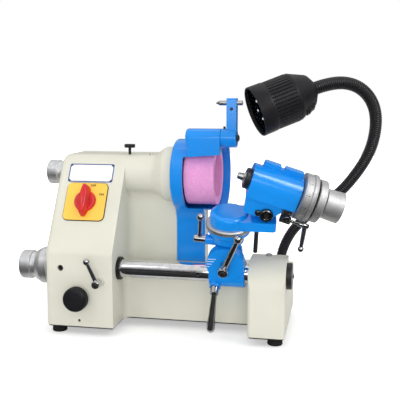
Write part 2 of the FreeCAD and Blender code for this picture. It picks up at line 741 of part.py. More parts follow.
def hood_form():
    """Keyhole section of the hood: round, cove and skirt, with a rounded left edge."""
    start, middle, touch = cove_points(HOOD_RADIUS, SKIRT_Y, SKIRT_COVE)
    foot = V(0, SKIRT_Y, SKIRT_LOW)
    heel = V(0, HOUSING_Y, SKIRT_LOW)
    chord = HOUSING_Y - SPINDLE_Y
    seat = V(0, HOUSING_Y, SPINDLE_HEIGHT - math.sqrt(HOOD_RADIUS ** 2 - chord ** 2))
    crown = V(0, SPINDLE_Y, SPINDLE_HEIGHT + HOOD_RADIUS)
    section = Part.Face(Part.Wire([
        Part.makeLine(foot, start),
        Part.Arc(start, middle, touch).toShape(),
        Part.Arc(touch, crown, seat).toShape(),
        Part.makeLine(seat, heel),
        Part.makeLine(heel, foot),
    ]))
    body = section.extrude(V(WEB_LENGTH, 0, 0))
    soft = []
    for edge in body.Edges:
        on_left = all(abs(point.X) < 1e-6 for point in edge.Vertexes)
        ahead = min(point.Y for point in edge.Vertexes) < HOUSING_Y - 1
        level = abs(edge.Vertexes[0].Z - edge.Vertexes[-1].Z) < 1e-6 and edge.Length < 10
        if on_left and ahead and not level:
            soft.append(edge)
    body = body.makeFillet(HOOD_SHOULDER, soft)
    return placed(body, along(AX, V(HOOD_LEFT, 0, 0)))


def wheel_hood():
    inner = HOOD_RADIUS - HOOD_WALL
    middle = V(0, SPINDLE_Y, SPINDLE_HEIGHT)
    barrel = rod(HOOD_RADIUS, middle + AX * (HOOD_LEFT + WEB_LENGTH / 2), middle + AX * HOOD_RIGHT)
    hollow = turned([
        (HOOD_LEFT + HOOD_BACK, 0, 0),
        (HOOD_LEFT + HOOD_BACK, inner, 6),
        (HOOD_RIGHT + 1, inner, 0),
        (HOOD_RIGHT + 1, 0, 0),
    ], SPINDLE)
    eye = rod(HOOD_HOLE, middle + AX * (HOOD_LEFT - 1), middle + AX * HOOD_RIGHT)

    tube = turned([
        (TUBE_LEFT, 0, 0),
        (TUBE_LEFT, TUBE_RADIUS, 5),
        (HOOD_RIGHT, TUBE_RADIUS, 0),
        (HOOD_RIGHT, 0, 0),
    ], TUBE)
    apron = block(TUBE_LEFT + 4, HOOD_RIGHT, TUBE_Y - TUBE_RADIUS, TUBE_Y + 12,
                  SPINDLE_HEIGHT + WINDOW_HIGH_LEFT - 2, TUBE_Z)
    body = fused([hood_form(), barrel, tube, apron])

    low = SPINDLE_HEIGHT - inner + 0.5
    window = slab_y([
        (HOOD_LEFT + HOOD_BAND, low, 3),
        (HOOD_LEFT + HOOD_BAND, SPINDLE_HEIGHT + WINDOW_HIGH_LEFT, 3),
        (HOOD_RIGHT + 9, SPINDLE_HEIGHT + WINDOW_HIGH_RIGHT, 0),
        (HOOD_RIGHT + 9, low, 0),
    ], FRONT, SPINDLE_Y)
    bore = rod(TUBE_BORE + RUN, V(TUBE_LEFT + 6, TUBE_Y, TUBE_Z), V(HOOD_RIGHT + 1, TUBE_Y, TUBE_Z))
    return cut(body, [hollow, eye, window, bore])


def dresser_arm():
    hub_left = HOOD_RIGHT + GAP
    arm_left = HOOD_RIGHT + ARM_START
    arm_right = arm_left + ARM_THICKNESS
    hub = turned([
        (TUBE_LEFT + 8, 0, 0),
        (TUBE_LEFT + 8, TUBE_BORE, 0),
        (hub_left, TUBE_BORE, 0),
        (hub_left, TUBE_RADIUS, 1),
        (arm_right, TUBE_RADIUS, 1),
        (arm_right, 0, 0),
    ], TUBE)
    half = ARM_WIDTH / 2
    arm = slab_x([
        (TUBE_Y - half, TUBE_Z, 0),
        (TUBE_Y - half, TUBE_Z + ARM_RISE, 3),
        (TUBE_Y + half, TUBE_Z + ARM_RISE, 3),
        (TUBE_Y + half, TUBE_Z, 0),
    ], arm_left, arm_right)
    middle = (arm_left + arm_right) / 2
    rod_z = TUBE_Z + ROD_RISE
    bores = [
        rod(ROD_RADIUS + RUN, V(arm_left - 1, TUBE_Y, rod_z), V(arm_right + 1, TUBE_Y, rod_z)),
        rod(2.6, V(middle, TUBE_Y - half - 1, rod_z - 9.5), V(middle, TUBE_Y - 2, rod_z - 9.5)),
        rod(2.0, V(hub_left + 5, TUBE_Y, TUBE_Z + 10), V(hub_left + 5, TUBE_Y, TUBE_Z + 20)),
        rod(3.0, V(arm_right - 8, TUBE_Y, TUBE_Z), V(arm_right + 1, TUBE_Y, TUBE_Z)),
    ]
    return cut(fused([hub, arm]), bores)


def dresser_screws():
    """Rod set screw, hub screw and the dome screw on the end of the hub."""
    hub_left = HOOD_RIGHT + GAP
    arm_left = HOOD_RIGHT + ARM_START
    arm_right = arm_left + ARM_THICKNESS
    middle = (arm_left + arm_right) / 2
    rod_z = TUBE_Z + ROD_RISE - 9.5
    set_screw = rod(2.6 - SEAT, V(middle, TUBE_Y - ARM_WIDTH / 2 + 0.8, rod_z), V(middle, TUBE_Y - 2, rod_z))
    hub_screw = rod(2.0 - SEAT, V(hub_left + 5, TUBE_Y, TUBE_Z + 10), V(hub_left + 5, TUBE_Y, TUBE_Z + 18.5))
    dome = turned([
        (arm_right - 8, 0, 0),
        (arm_right - 8, 3.0 - SEAT, 0),
        (arm_right, 3.0 - SEAT, 0),
        (arm_right, 6.5, 0),
        (arm_right + 2, 6.0, 0),
        (arm_right + 4, 3.5, 0),
        (arm_right + 4, 0, 0),
    ], TUBE)
    return Part.makeCompound([set_screw, hub_screw, dome])


def dresser_rod():
    x = WHEEL_X + WHEEL_LENGTH + ROD_STANDOFF
    return turned([
        (x, 0, 0),
        (x, 0.8, 0),
        (x + 6, ROD_RADIUS, 0),
        (x + ROD_LENGTH, ROD_RADIUS, 0.8),
        (x + ROD_LENGTH, 0, 0),
    ], along(AX, V(0, TUBE_Y, TUBE_Z + ROD_RISE)))


def guide_bar():
    bar = turned([
        (LEFT + BAR_START, 0, 0),
        (LEFT + BAR_START, BAR_RADIUS, 1),
        (RIGHT - BAR_END_INSET, BAR_RADIUS, 1),
        (RIGHT - BAR_END_INSET, 0, 0),
    ], BAR)
    hole = V(BRACKET_X - BRACKET_HALF - 18, BAR_Y, BAR_HEIGHT)
    return cut(bar, [rod(2.5, hole - AY * 20, hole - AY * 8)])


def feed_sleeve():
    start = LEFT + SLEEVE_START
    seat = LEFT + BAR_START - GAP
    end = COLUMN_RIGHT + SLEEVE_NOSE
    return turned([
        (start, FEED_SCREW_RADIUS + RUN, 0),
        (start, SLEEVE_RADIUS, 1),
        (end, SLEEVE_RADIUS, 1),
        (end, BAR_RADIUS + RUN, 0),
        (seat, BAR_RADIUS + RUN, 0),
        (seat, FEED_SCREW_RADIUS + RUN, 0),
    ], BAR)


def feed_knob():
    groove = LEFT - COLLAR_LENGTH - 10
    return turned([
        (groove - 19, 0, 0),
        (groove - 19, FEED_KNOB_RADIUS, 2),
        (groove, FEED_KNOB_RADIUS, 2),
        (groove, FEED_KNOB_RADIUS - 3, 0),
        (LEFT - COLLAR_LENGTH, FEED_KNOB_RADIUS - 3, 0),
        (LEFT - COLLAR_LENGTH, FEED_SCREW_RADIUS, 0),
        (LEFT + BAR_START - 8, FEED_SCREW_RADIUS, 1),
        (LEFT + BAR_START - 8, 0, 0),
    ], BAR)


def feed_collar():
    return turned([
        (LEFT - COLLAR_LENGTH, FEED_SCREW_RADIUS + SEAT, 0),
        (LEFT - COLLAR_LENGTH, COLLAR_RADIUS - 4.5, 0),
        (LEFT - COLLAR_LENGTH + 9, COLLAR_RADIUS, 5),
        (LEFT - GAP, COLLAR_RADIUS, 1.5),
        (LEFT - GAP, FEED_SCREW_RADIUS + SEAT, 0),
    ], BAR)


def bar_end_cap():
    return turned([
        (RIGHT, 3.0 + SEAT, 0),
        (RIGHT, CAP_RADIUS, 0),
        (RIGHT + CAP_LENGTH, CAP_RADIUS, 2),
        (RIGHT + CAP_LENGTH, 3.0 + SEAT, 0),
    ], BAR)


def column_screws():
    """Screw of the end cap and the clamp screw on top of the right column."""
    cap = turned([
        (RIGHT, 0, 0),
        (RIGHT, 3.0, 0),
        (RIGHT + CAP_LENGTH, 3.0, 0),
        (RIGHT + CAP_LENGTH, 6.0, 0),
        (RIGHT + CAP_LENGTH + 3, 3.5, 0),
        (RIGHT + CAP_LENGTH + 3, 0, 0),
    ], BAR)
    brow = V(END_LEFT + 27.5, END_BACK - 16, END_COLUMN_HEIGHT)
    clamp = turned([
        (-8, 0, 0),
        (-8, 3.0 - SEAT, 0),
        (0, 3.0 - SEAT, 0),
        (0, 5.0, 0),
        (3.5, 5.0, 1),
        (3.5, 0, 0),
    ], along(AZ, brow))
    return Part.makeCompound([cap, clamp])


def infeed_knob():
    knob = turned([
        (-WALL - 4, 0, 0),
        (-WALL - 4, 6, 0),
        (4, 6, 0),
        (4, INFEED_RADIUS - 3, 0),
        (10, INFEED_RADIUS, 0),
        (24, INFEED_RADIUS, 5),
        (25.5, 0, 0),
    ], along(-AY, V(0, 0, 0)))
    flutes = []
    for number in range(10):
        angle = 2 * math.pi * number / 10
        side = V(math.cos(angle), 0, math.sin(angle)) * (INFEED_RADIUS + 2.2)
        flutes.append(rod(4, side - AY * 30, side))
    return placed(cut(knob, flutes), along(AX, V(LEFT + INFEED_X, FRONT, INFEED_Z)))


def ball_lever(frame, stem_radius, stem_start, hub, tip, ball):
    """Clamp lever: stem along X, hub on the stem's end, tapered arm and ball."""
    hub_radius, hub_start, hub_end = hub
    middle = V((hub_start + hub_end) / 2, 0, 0)
    stem = rod(stem_radius, V(stem_start, 0, 0), V(hub_start + 1, 0, 0))
    body = turned([
        (hub_start, 0, 0),
        (hub_start, hub_radius, 0),
        (hub_end, hub_radius, 2),
        (hub_end, 0, 0),
    ], along(AX, V(0, 0, 0)))
    reach = (tip - middle).Length
    arm = Part.makeCone(3.6, 2.8, reach, middle, tip - middle)
    knob = Part.makeSphere(ball, tip)
    return placed(fused([stem, body, arm, knob]), frame)


def bar_lock_lever():
    frame = along(-AY, V(LEFT + LOCK_X, FRONT, LOCK_Z))
    inside = frame.inverse().Rotation.multVec(V(-15, -3, 36.5))
    return ball_lever(frame, 4.0, -18, (6.5, 6 + GAP, 24), inside + V(17, 0, 0), 5.5)


def bracket():
    barrel = turned([
        (-BRACKET_HALF, 0, 0),
        (-BRACKET_HALF, BARREL_RADIUS, 2),
        (BRACKET_HALF, BARREL_RADIUS, 2),
        (BRACKET_HALF, 0, 0),
    ], along(AX, V(0, 0, 0)))
    pivot = V(0, 0, DISC_RISE)
    front = rod(DISC_RADIUS, pivot - AY * DISC_FRONT, pivot - AY * FORK_FRONT)
    front_web = block(-22, 22, -20, -FORK_FRONT, 0, DISC_RISE)
    back = slab_y([
        (-22, 0, 0),
        (-22, DISC_RISE + 22, 20),
        (22, DISC_RISE + 22, 20),
        (22, 0, 0),
    ], FORK_BACK, FORK_END)
    boss_way = V(0, -0.898, -0.44).normalize()
    boss_at = V(-18, 0, 0)
    boss = rod(9, boss_at + boss_way * 17, boss_at + boss_way * 27)
    body = fused([barrel, front, front_web, back, boss])
    bores = [
        rod(BAR_RADIUS + RUN, V(-BRACKET_HALF - 1, 0, 0), V(BRACKET_HALF + 1, 0, 0)),
        rod(TONGUE_RADIUS + GAP, pivot - AY * FORK_FRONT, pivot + AY * FORK_BACK),
        rod(5 + RUN, pivot - AY * (DISC_FRONT + 1), pivot + AY * (FORK_END + 1)),
        rod(4 + RUN, boss_at + boss_way * 10, boss_at + boss_way * 28),
    ]
    return placed(cut(body, bores), BRACKET)


def bracket_lock_lever():
    boss_way = V(0, -0.898, -0.44).normalize()
    frame = BRACKET * along(boss_way, V(-18, 0, 0))
    middle = frame.multVec(V(33, 0, 0))
    inside = frame.inverse().multVec(middle + V(-6, -1, -62))
    hub = (7.0, 27 + GAP, 39)
    stem = rod(4.0, V(BAR_RADIUS + 0.5, 0, 0), V(28, 0, 0))
    body = rod(hub[0], V(hub[1], 0, 0), V(hub[2], 0, 0))
    arm = Part.makeCone(4.2, 6.6, (inside - V(33, 0, 0)).Length, V(33, 0, 0), inside - V(33, 0, 0))
    end = Part.makeSphere(6.6, inside)
    return placed(fused([stem, body, arm, end]), frame)


def tilt_lock_lever():
    frame = BRACKET * along(-AY, V(0, 0, DISC_RISE))
    tip = frame.inverse().multVec(BRACKET.multVec(V(27, -50, DISC_RISE + 64)))
    return ball_lever(frame, 5.0, -FORK_END, (8.0, DISC_FRONT + GAP, 48), tip, 6.5)


def swivel_lock_lever():
    frame = NECK * along(-AX, V(0, 4, 27))
    tip = frame.inverse().multVec(NECK.multVec(V(-45, 4, 66)))
    return ball_lever(frame, 3.5, 22, (6.0, 36, 55), tip, 6.0)


def neck():
    column_shape = turned([
        (NECK_LOW, SWIVEL_PIN + RUN, 0),
        (NECK_LOW, NECK_RADIUS - 2, 0),
        (NECK_LOW + 12, NECK_RADIUS, 10),
        (NECK_LOW + 18, NECK_FLANGE, 4),
        (RING_LOW, NECK_FLANGE, 0),
        (RING_LOW, SWIVEL_PIN + RUN, 0),
    ], along(AZ, V(0, SWIVEL_Y, 0)))
    tongue = slab_y([
        (-TONGUE_RADIUS, -TONGUE_RADIUS, TONGUE_RADIUS - 0.01),
        (TONGUE_RADIUS, -TONGUE_RADIUS, TONGUE_RADIUS - 0.01),
        (TONGUE_RADIUS, 4, 0),
        (20, 26, 6),
        (20, NECK_LOW + 4, 0),
        (-20, NECK_LOW + 4, 0),
        (-20, 26, 6),
        (-TONGUE_RADIUS, 4, 0),
    ], GAP - FORK_FRONT, FORK_BACK - GAP)
    boss = rod(8, V(-36 + GAP, 4, 27), V(-12, 4, 27))
    body = fused([column_shape, tongue, boss])
    bores = [
        rod(5 + RUN, V(0, -FORK_FRONT - 1, 0), V(0, FORK_BACK + 1, 0)),
        rod(3.5 + RUN, V(-40, 4, 27), V(-19, 4, 27)),
        rod(SWIVEL_PIN + RUN, V(0, SWIVEL_Y, NECK_LOW + 6), V(0, SWIVEL_Y, RING_LOW + 1)),
    ]
    return placed(cut(body, bores), NECK)


def scale_ring():
    return turned([
        (RING_LOW, SWIVEL_PIN + RUN, 0),
        (RING_LOW, RING_RADIUS, 0),
        (RING_HIGH - 2, RING_RADIUS, 0),
        (RING_HIGH, RING_RADIUS - 2, 0),
        (RING_HIGH, SWIVEL_PIN + RUN, 0),
    ], NECK * along(AZ, V(0, SWIVEL_Y, 0)))


def swivel_arm():
    dome = turned([
        (0, 0, 0),
        (0, DOME_RADIUS, 0),
        (DOME_HEIGHT, DOME_RADIUS, 7),
        (DOME_HEIGHT, 0, 0),
    ], along(AZ, V(0, 0, 0)))
    plate = slab_z([
        (0, -DOME_RADIUS + 2, 0),
        (ARM_END, -ARM_HALF, 6),
        (ARM_END, ARM_HALF, 6),
        (0, DOME_RADIUS - 2, 0),
    ], 0, ARM_PLATE)
    cheek = slab_y([
        (ARM_REACH - CHEEK_RADIUS - 8, ARM_PLATE - 2, 0),
        (ARM_REACH - CHEEK_RADIUS, PIVOT_RISE + CHEEK_RADIUS, 15),
        (ARM_REACH + CHEEK_RADIUS, PIVOT_RISE + CHEEK_RADIUS, 15),
        (ARM_REACH + CHEEK_RADIUS, ARM_PLATE - 2, 0),
    ], CHEEK_FRONT, CHEEK_BACK)
    pin = rod(SWIVEL_PIN, V(0, 0, -(RING_HIGH - NECK_LOW - 8)), V(0, 0, 2))
    body = fused([dome, plate, cheek, pin])
    bores = [
        rod(6 + RUN, V(ARM_REACH, CHEEK_FRONT - 1, PIVOT_RISE), V(ARM_REACH, CHEEK_BACK + 1, PIVOT_RISE)),
        rod(3.5, V(43, -8, -1), V(43, -8, 8)),
    ]
    return placed(cut(body, bores), ARM)


def stop_rod():
    return placed(turned([
        (8, 0, 0),
        (8, 3.5 - SEAT, 0),
        (-48, 3.5 - SEAT, 1),
        (-48, 0, 0),
    ], along(AZ, V(43, -8, 0))), ARM)


def work_head():
    flat = HEAD_RISE - HEAD_FLAT
    barrel = rod(HEAD_RADIUS, V(HEAD_LEFT, 0, HEAD_RISE), V(HEAD_RIGHT, 0, HEAD_RISE))
    cheeks = block(HEAD_LEFT, HEAD_RIGHT, -HEAD_RADIUS, HEAD_RADIUS, flat, HEAD_RISE)
    below = block(HEAD_LEFT - 1, HEAD_RIGHT + 1, -40, 40, -40, flat)
    barrel = fused([barrel, cheeks]).cut(below)
    knuckle = slab_y([
        (-39, flat + 2, 0),
        (-34, -8, 4),
        (6, -8, 10),
        (20, 10, 6),
        (20, flat + 2, 0),
    ], -KNUCKLE_FRONT, CHEEK_FRONT - GAP)
    top = HEAD_RISE + HEAD_RADIUS
    rib = slab_y([
        (-28, top - 4, 0),
        (-28, top + 8.8, 3),
        (-2, top + 8.8, 2),
        (-2, top + 4, 0),
        (4, top + 4, 0),
        (4, top + 8.8, 2),
        (34, top + 8.8, 3),
        (34, top - 4, 0),
    ], 0, 10)
    body = fused([barrel, knuckle, rib])
    bores = [
        rod(WORK_RADIUS + RUN, V(HEAD_LEFT - 1, 0, HEAD_RISE), V(HEAD_RIGHT + 1, 0, HEAD_RISE)),
        rod(6 + SEAT, V(0, -40, 0), V(0, 0, 0)),
        rod(2.5, V(-13, -40, -1), V(-13, -16, -1)),
    ]
    return placed(cut(body, bores), HEAD)


def head_bolts():
    """Pivot bolt with its nut, and the small clamp screw beside it."""
    bolt = turned([
        (-CHEEK_BACK - 9, 0, 0),
        (-CHEEK_BACK - 9, 10, 1),
        (-CHEEK_BACK - GAP, 10, 0),
        (-CHEEK_BACK - GAP, 6, 0),
        (KNUCKLE_FRONT, 6, 0),
        (KNUCKLE_FRONT, 10, 0),
        (KNUCKLE_FRONT + 6, 10, 1.5),
        (KNUCKLE_FRONT + 6, 0, 0),
    ], along(-AY, V(0, 0, 0)))
    screw = turned([
        (17, 0, 0),
        (17, 2.5 - SEAT, 0),
        (KNUCKLE_FRONT, 2.5 - SEAT, 0),
        (KNUCKLE_FRONT, 4.6, 0),
        (KNUCKLE_FRONT + 4, 4.6, 1),
        (KNUCKLE_FRONT + 4, 0, 0),
    ], along(-AY, V(-13, 0, -1)))
    return placed(Part.makeCompound([bolt, screw]), HEAD)


def index_pin_block():
    """Black block under the head with the index pin's housing and plunger."""
    flat = HEAD_RISE - HEAD_FLAT
    lug = slab_x([
        (-27, 5, 4),
        (-27, flat, 0),
        (-14, flat, 0),
        (-14, 5, 4),
    ], 21 + GAP, 34)
    housing_pin = rod(6.0, V(21 + GAP, -21, 2), V(HEAD_RIGHT + 0.5, -21, 2))
    plunger = turned([
        (0, 0, 0),
        (0, 3.5, 0),
        (6, 3.5, 0),
        (6, 5, 1),
        (12, 5, 1),
        (12, 0, 0),
    ], along(-AY, V(28, -25, 10)))
    body = fused([lug, housing_pin, plunger])
    bore = rod(2.5 + RUN, V(26, -21, 2), V(HEAD_RIGHT + 6, -21, 2))
    return placed(cut(body, [bore]), HEAD)


def index_lever():
    tip = V(67, -33, -32)
    stem = rod(2.5, V(27, -21, 2), V(64, -21, 2))
    grip = Part.makeCone(2.6, 3.4, (tip - V(61, -21, 2)).Length, V(61, -21, 2), tip - V(61, -21, 2))
    ball = Part.makeSphere(4.6, tip)
    tail = rod(2.6, V(61, -21, 2), V(59.6, -19, 6))
    return placed(fused([stem, grip, ball, tail]), HEAD)


def work_spindle():
    return turned([
        (HEAD_LEFT - 8, 7.0, 0),
        (HEAD_LEFT - 8, 16, 2),
        (HEAD_LEFT - GAP, 16, 0),
        (HEAD_LEFT - GAP, WORK_RADIUS, 0),
        (77, WORK_RADIUS, 0),
        (77, 7.0, 0),
    ], WORK)


def collet():
    nose = HEAD_LEFT - 8
    return turned([
        (nose - 11, COLLET_BORE, 0),
        (nose - 11, 5.0, 0),
        (nose - 3, 6.0, 0),
        (nose, 9.0, 0),
        (nose, 7.0 - SEAT, 0),
        (nose + 46, 7.0 - SEAT, 0),
        (nose + 46, COLLET_BORE, 0),
    ], WORK)


def index_ring():
    return turned([
        (38.5, WORK_RADIUS + SEAT, 0),
        (38.5, INDEX_RADIUS, 2),
        (58, INDEX_RADIUS, 2),
        (58, WORK_RADIUS + SEAT, 0),
    ], WORK)


def clamp_ring():
    return turned([
        (58, WORK_RADIUS + SEAT, 0),
        (58, 24, 0),
        (61.5, 24, 0),
        (61.5, CLAMP_RADIUS, 2),
        (74, CLAMP_RADIUS, 2),
        (74, WORK_RADIUS + SEAT, 0),
    ], WORK)


def drawbar_cup():
    return turned([
        (77 + GAP, 3.0, 0),
        (77 + GAP, CUP_RADIUS - 1, 0),
        (104.5, CUP_RADIUS, 1),
        (104.5, CUP_BORE, 1),
        (86, CUP_BORE, 2),
        (86, 3.0, 0),
    ], WORK)


def panel_slab(x, s, wide, tall, radius, z0, z1):
    corners = box_corners(x - wide / 2, x + wide / 2, s - tall / 2, s + tall / 2, radius)
    return slab_z(corners, z0, z1)


def switch_plate():
    plate = panel_slab(SWITCH_X, SWITCH_S, SWITCH_WIDE, SWITCH_TALL, 8, 0, SWITCH_PLATE)
    hole = rod(5.5, V(SWITCH_X, SWITCH_S, -1), V(SWITCH_X, SWITCH_S, SWITCH_PLATE + 1))
    return placed(cut(plate, [hole]), PANEL)


def switch_handle():
    centre = V(SWITCH_X, SWITCH_S, 0)
    low = SWITCH_PLATE + GAP
    disc = turned([
        (low, 0, 0),
        (low, 18.5, 0),
        (low + 5, 17.5, 2),
        (low + 5, 0, 0),
    ], along(AZ, centre))
    blade = panel_slab(SWITCH_X, SWITCH_S, 13, 54, 6, low + 1, low + 17)
    stem = rod(5, centre - AZ * (WALL - 1), centre + AZ * (low + 1))
    return placed(fused([disc, blade, stem]), PANEL)


def switch_body():
    return placed(panel_slab(SWITCH_X, SWITCH_S, 48, 48, 3, -WALL - 42, -WALL), PANEL)


def name_plate():
    return placed(panel_slab(NAME_X, NAME_S, NAME_WIDE, NAME_TALL, 3, 0, NAME_PLATE), PANEL)


def lamp_socket():
    return turned([
        (0, 0, 0),
        (0, SOCKET_RADIUS, 0),
        (5, SOCKET_RADIUS, 1),
        (SOCKET_HEIGHT, SOCKET_RADIUS - 4, 0),
        (SOCKET_HEIGHT, NECK_PLUG + RUN, 0),
        (4, NECK_PLUG + RUN, 0),
        (4, 0, 0),
    ], along(AZ, SOCKET))


def neck_path():
    """Smooth line of the lamp's neck, upright at the socket and square to the lamp."""
    tail = LAMP_MOUTH + LAMP_AXIS * LAMP_LENGTH
    foot = SOCKET + AZ * (SOCKET_HEIGHT + 1)
    poles = [foot, foot + AZ * 8, foot + AZ * 16]
    for across, forward, rise in ((12, 1, 69), (36, 2, 97), (66, 3, 120), (95, 5, 142), (118, 7, 172),
                                  (137, 8, 203), (146, 14, 239), (145, 23, 276), (126, 36, 306), (91, 52, 319)):
        poles.append(SOCKET + V(across, -forward, rise))
    poles += [tail + LAMP_AXIS * 9, tail]
    curve = Part.BSplineCurve()
    curve.buildFromPoles(poles, False, 3)
    return curve


def ring_on(curve, share, radius):
    """Circle square to the curve, with a steady X axis."""
    first = curve.FirstParameter
    at = curve.parameterAtDistance(curve.length() * share, first)
    ahead = V(*curve.tangent(at)[0]).normalize()
    side = (AY - ahead * AY.dot(ahead)).normalize()
    turn = FreeCAD.Rotation(side, ahead.cross(side), ahead, "ZXY")
    circle = placed(Part.makeCircle(radius), FreeCAD.Placement(curve.value(at), turn))
    return Part.Wire([circle])


def gooseneck():
    """Ribbed hose that widens from its foot to the lamp, with a bore for the wires."""
    curve = neck_path()
    ribs = []
    bore = []
    for number in range(RIB_COUNT):
        for part, groove in ((0.0, NECK_GROOVE), (0.2, 0), (0.65, 0), (0.85, NECK_GROOVE)):
            share = (number + part) / RIB_COUNT
            ribs.append(ring_on(curve, share, NECK_FOOT + (NECK_TUBE - NECK_FOOT) * share - groove))
        bore.append(ring_on(curve, number / RIB_COUNT, NECK_BORE))
    ribs.append(ring_on(curve, 1.0, NECK_TUBE - NECK_GROOVE))
    bore.append(ring_on(curve, 1.0, NECK_BORE))
    tube = Part.makeLoft(ribs, True, True).cut(Part.makeLoft(bore, True, True))
    foot = curve.value(curve.FirstParameter)
    plug = turned([
        (5 - SOCKET_HEIGHT, NECK_BORE, 0),
        (5 - SOCKET_HEIGHT, NECK_PLUG, 0),
        (0, NECK_PLUG, 0),
        (0, NECK_BORE, 0),
    ], along(AZ, foot))
    return fused([tube, plug])


def lamp_shell():
    wall = 2.5
    shell = turned([
        (0, LAMP_RADIUS - wall, 0),
        (0, LAMP_RADIUS, 1),
        (22, LAMP_RADIUS - 0.5, 0),
        (23, LAMP_RADIUS - 2.2, 0),
        (LAMP_RING - 5, LAMP_RADIUS - 3, 0),
        (LAMP_RING - 4, LAMP_RADIUS - 2, 0),
        (LAMP_RING, LAMP_RADIUS - 2, 3),
        (LAMP_KNEE, KNEE_RADIUS, 4),
        (LAMP_LENGTH, 11.5, 1),
        (LAMP_LENGTH, NECK_BORE, 0),
        (LAMP_KNEE - 1, NECK_BORE, 0),
        (LAMP_KNEE - 3, KNEE_RADIUS - 4, 2),
        (LAMP_RING - 2, LAMP_RADIUS - 4 - wall, 0),
    ], along(AX, V(0, 0, 0)))
    ribs = []
    for number in range(LAMP_RIBS):
        angle = 360 * number / LAMP_RIBS
        rib = block(22, LAMP_RING - 4.5, -2.5, 2.5, LAMP_RADIUS - 4.5, LAMP_RADIUS - 1)
        ribs.append(placed(rib, FreeCAD.Placement(V(0, 0, 0), FreeCAD.Rotation(AX, angle))))
    body = fused([shell] + ribs)
    pocket = rocker_frame()
    slot = placed(block(-6.6, 6.6, -4.1, 4.1, -9, 6), pocket)
    pad = placed(block(-9, 9, -6.5, 6.5, -6, 1.5), pocket)
    return placed(cut(fused([body, pad]), [slot]), LAMP)


def rocker_frame():
    """Place of the rocker on the lamp's taper: X along the slope, Z outward."""
    slope = math.degrees(math.atan2(LAMP_RADIUS - 2 - KNEE_RADIUS, LAMP_KNEE - LAMP_RING))
    middle = (LAMP_RADIUS - 2 + KNEE_RADIUS) / 2
    on_top = FreeCAD.Placement(V((LAMP_RING + LAMP_KNEE) / 2, 0, middle), FreeCAD.Rotation(AY, slope))
    return FreeCAD.Placement(V(0, 0, 0), FreeCAD.Rotation(AX, 150)) * on_top


def lamp_rocker():
    rocker = slab_y([
        (-5.2, -3, 0),
        (-5.6, 3.2, 0.5),
        (0, 2.0, 4),
        (5.6, 3.2, 0.5),
        (5.2, -3, 0),
    ], -3.6, 3.6)
    pin = rod(1.0, V(0, -4.0, 0), V(0, 4.0, 0))
    return placed(fused([rocker, pin]), LAMP * rocker_frame())


def lamp_reflector():
    return placed(turned([
        (9, LAMP_RADIUS - 3.6, 0),
        (46, 12, 0),
        (46, 10.3, 0),
        (44.8, 10.3, 0),
        (9, LAMP_RADIUS - 5.4, 0),
    ], along(AX, V(0, 0, 0))), LAMP)


def lamp_bulb():
    return placed(turned([
        (20, 0, 0),
        (20, 8.5, 7),
        (42, 8.5, 2),
        (42, 10, 0),
        (56, 10, 2),
        (56, 0, 0),
    ], along(AX, V(0, 0, 0))), LAMP)


def lamp_lens():
    edge = LAMP_RADIUS - 3.2
    return placed(turned([
        (4, 0, 0),
        (5, edge, 0),
        (7, edge, 0),
        (6, 0, 0),
    ], along(AX, V(0, 0, 0))), LAMP)


NODES = [
    base_casting, bottom_plate, rubber_feet, rear_cover, cover_screws,
    quill_sleeve, spindle_bearings, spindle_shaft, spindle_pulley, grinding_wheel, wheel_nut,
    motor_frame, motor_shaft, motor_pulley, drive_belt,
    quill_knob, quill_lock_screw, oil_cup,
    wheel_hood, dresser_arm, dresser_screws, dresser_rod,
    guide_bar, feed_sleeve, feed_knob, feed_collar, bar_end_cap, column_screws,
    infeed_knob, bar_lock_lever,
    bracket, bracket_lock_lever, tilt_lock_lever, swivel_lock_lever,
    neck, scale_ring, swivel_arm, stop_rod,
    work_head, head_bolts, index_pin_block, index_lever,
    work_spindle, collet, index_ring, clamp_ring, drawbar_cup,
    switch_plate, switch_handle, switch_body, name_plate,
    lamp_socket, gooseneck, lamp_shell, lamp_rocker, lamp_reflector, lamp_bulb, lamp_lens,
]

os.makedirs("parts", exist_ok=True)
for make in NODES:
    make().exportStep("parts/" + make.__name__ + ".step")
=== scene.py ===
"""Looks of a bench-top tool and cutter grinder.

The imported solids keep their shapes. This script gives each of them a finish, adds the
fine pieces that only show close up, such as knurls, hose ribs, scales and plate edging,
and sets the floor, the lamps and the camera. Sizes are in millimetres unless a name or
a docstring says otherwise. X runs to the right, Y to the back and Z up.
"""

import json
import logging
import math
from dataclasses import dataclass, field
from enum import Enum
from typing import Callable, Optional, Sequence

import bmesh
import bpy
from mathutils import Matrix, Vector

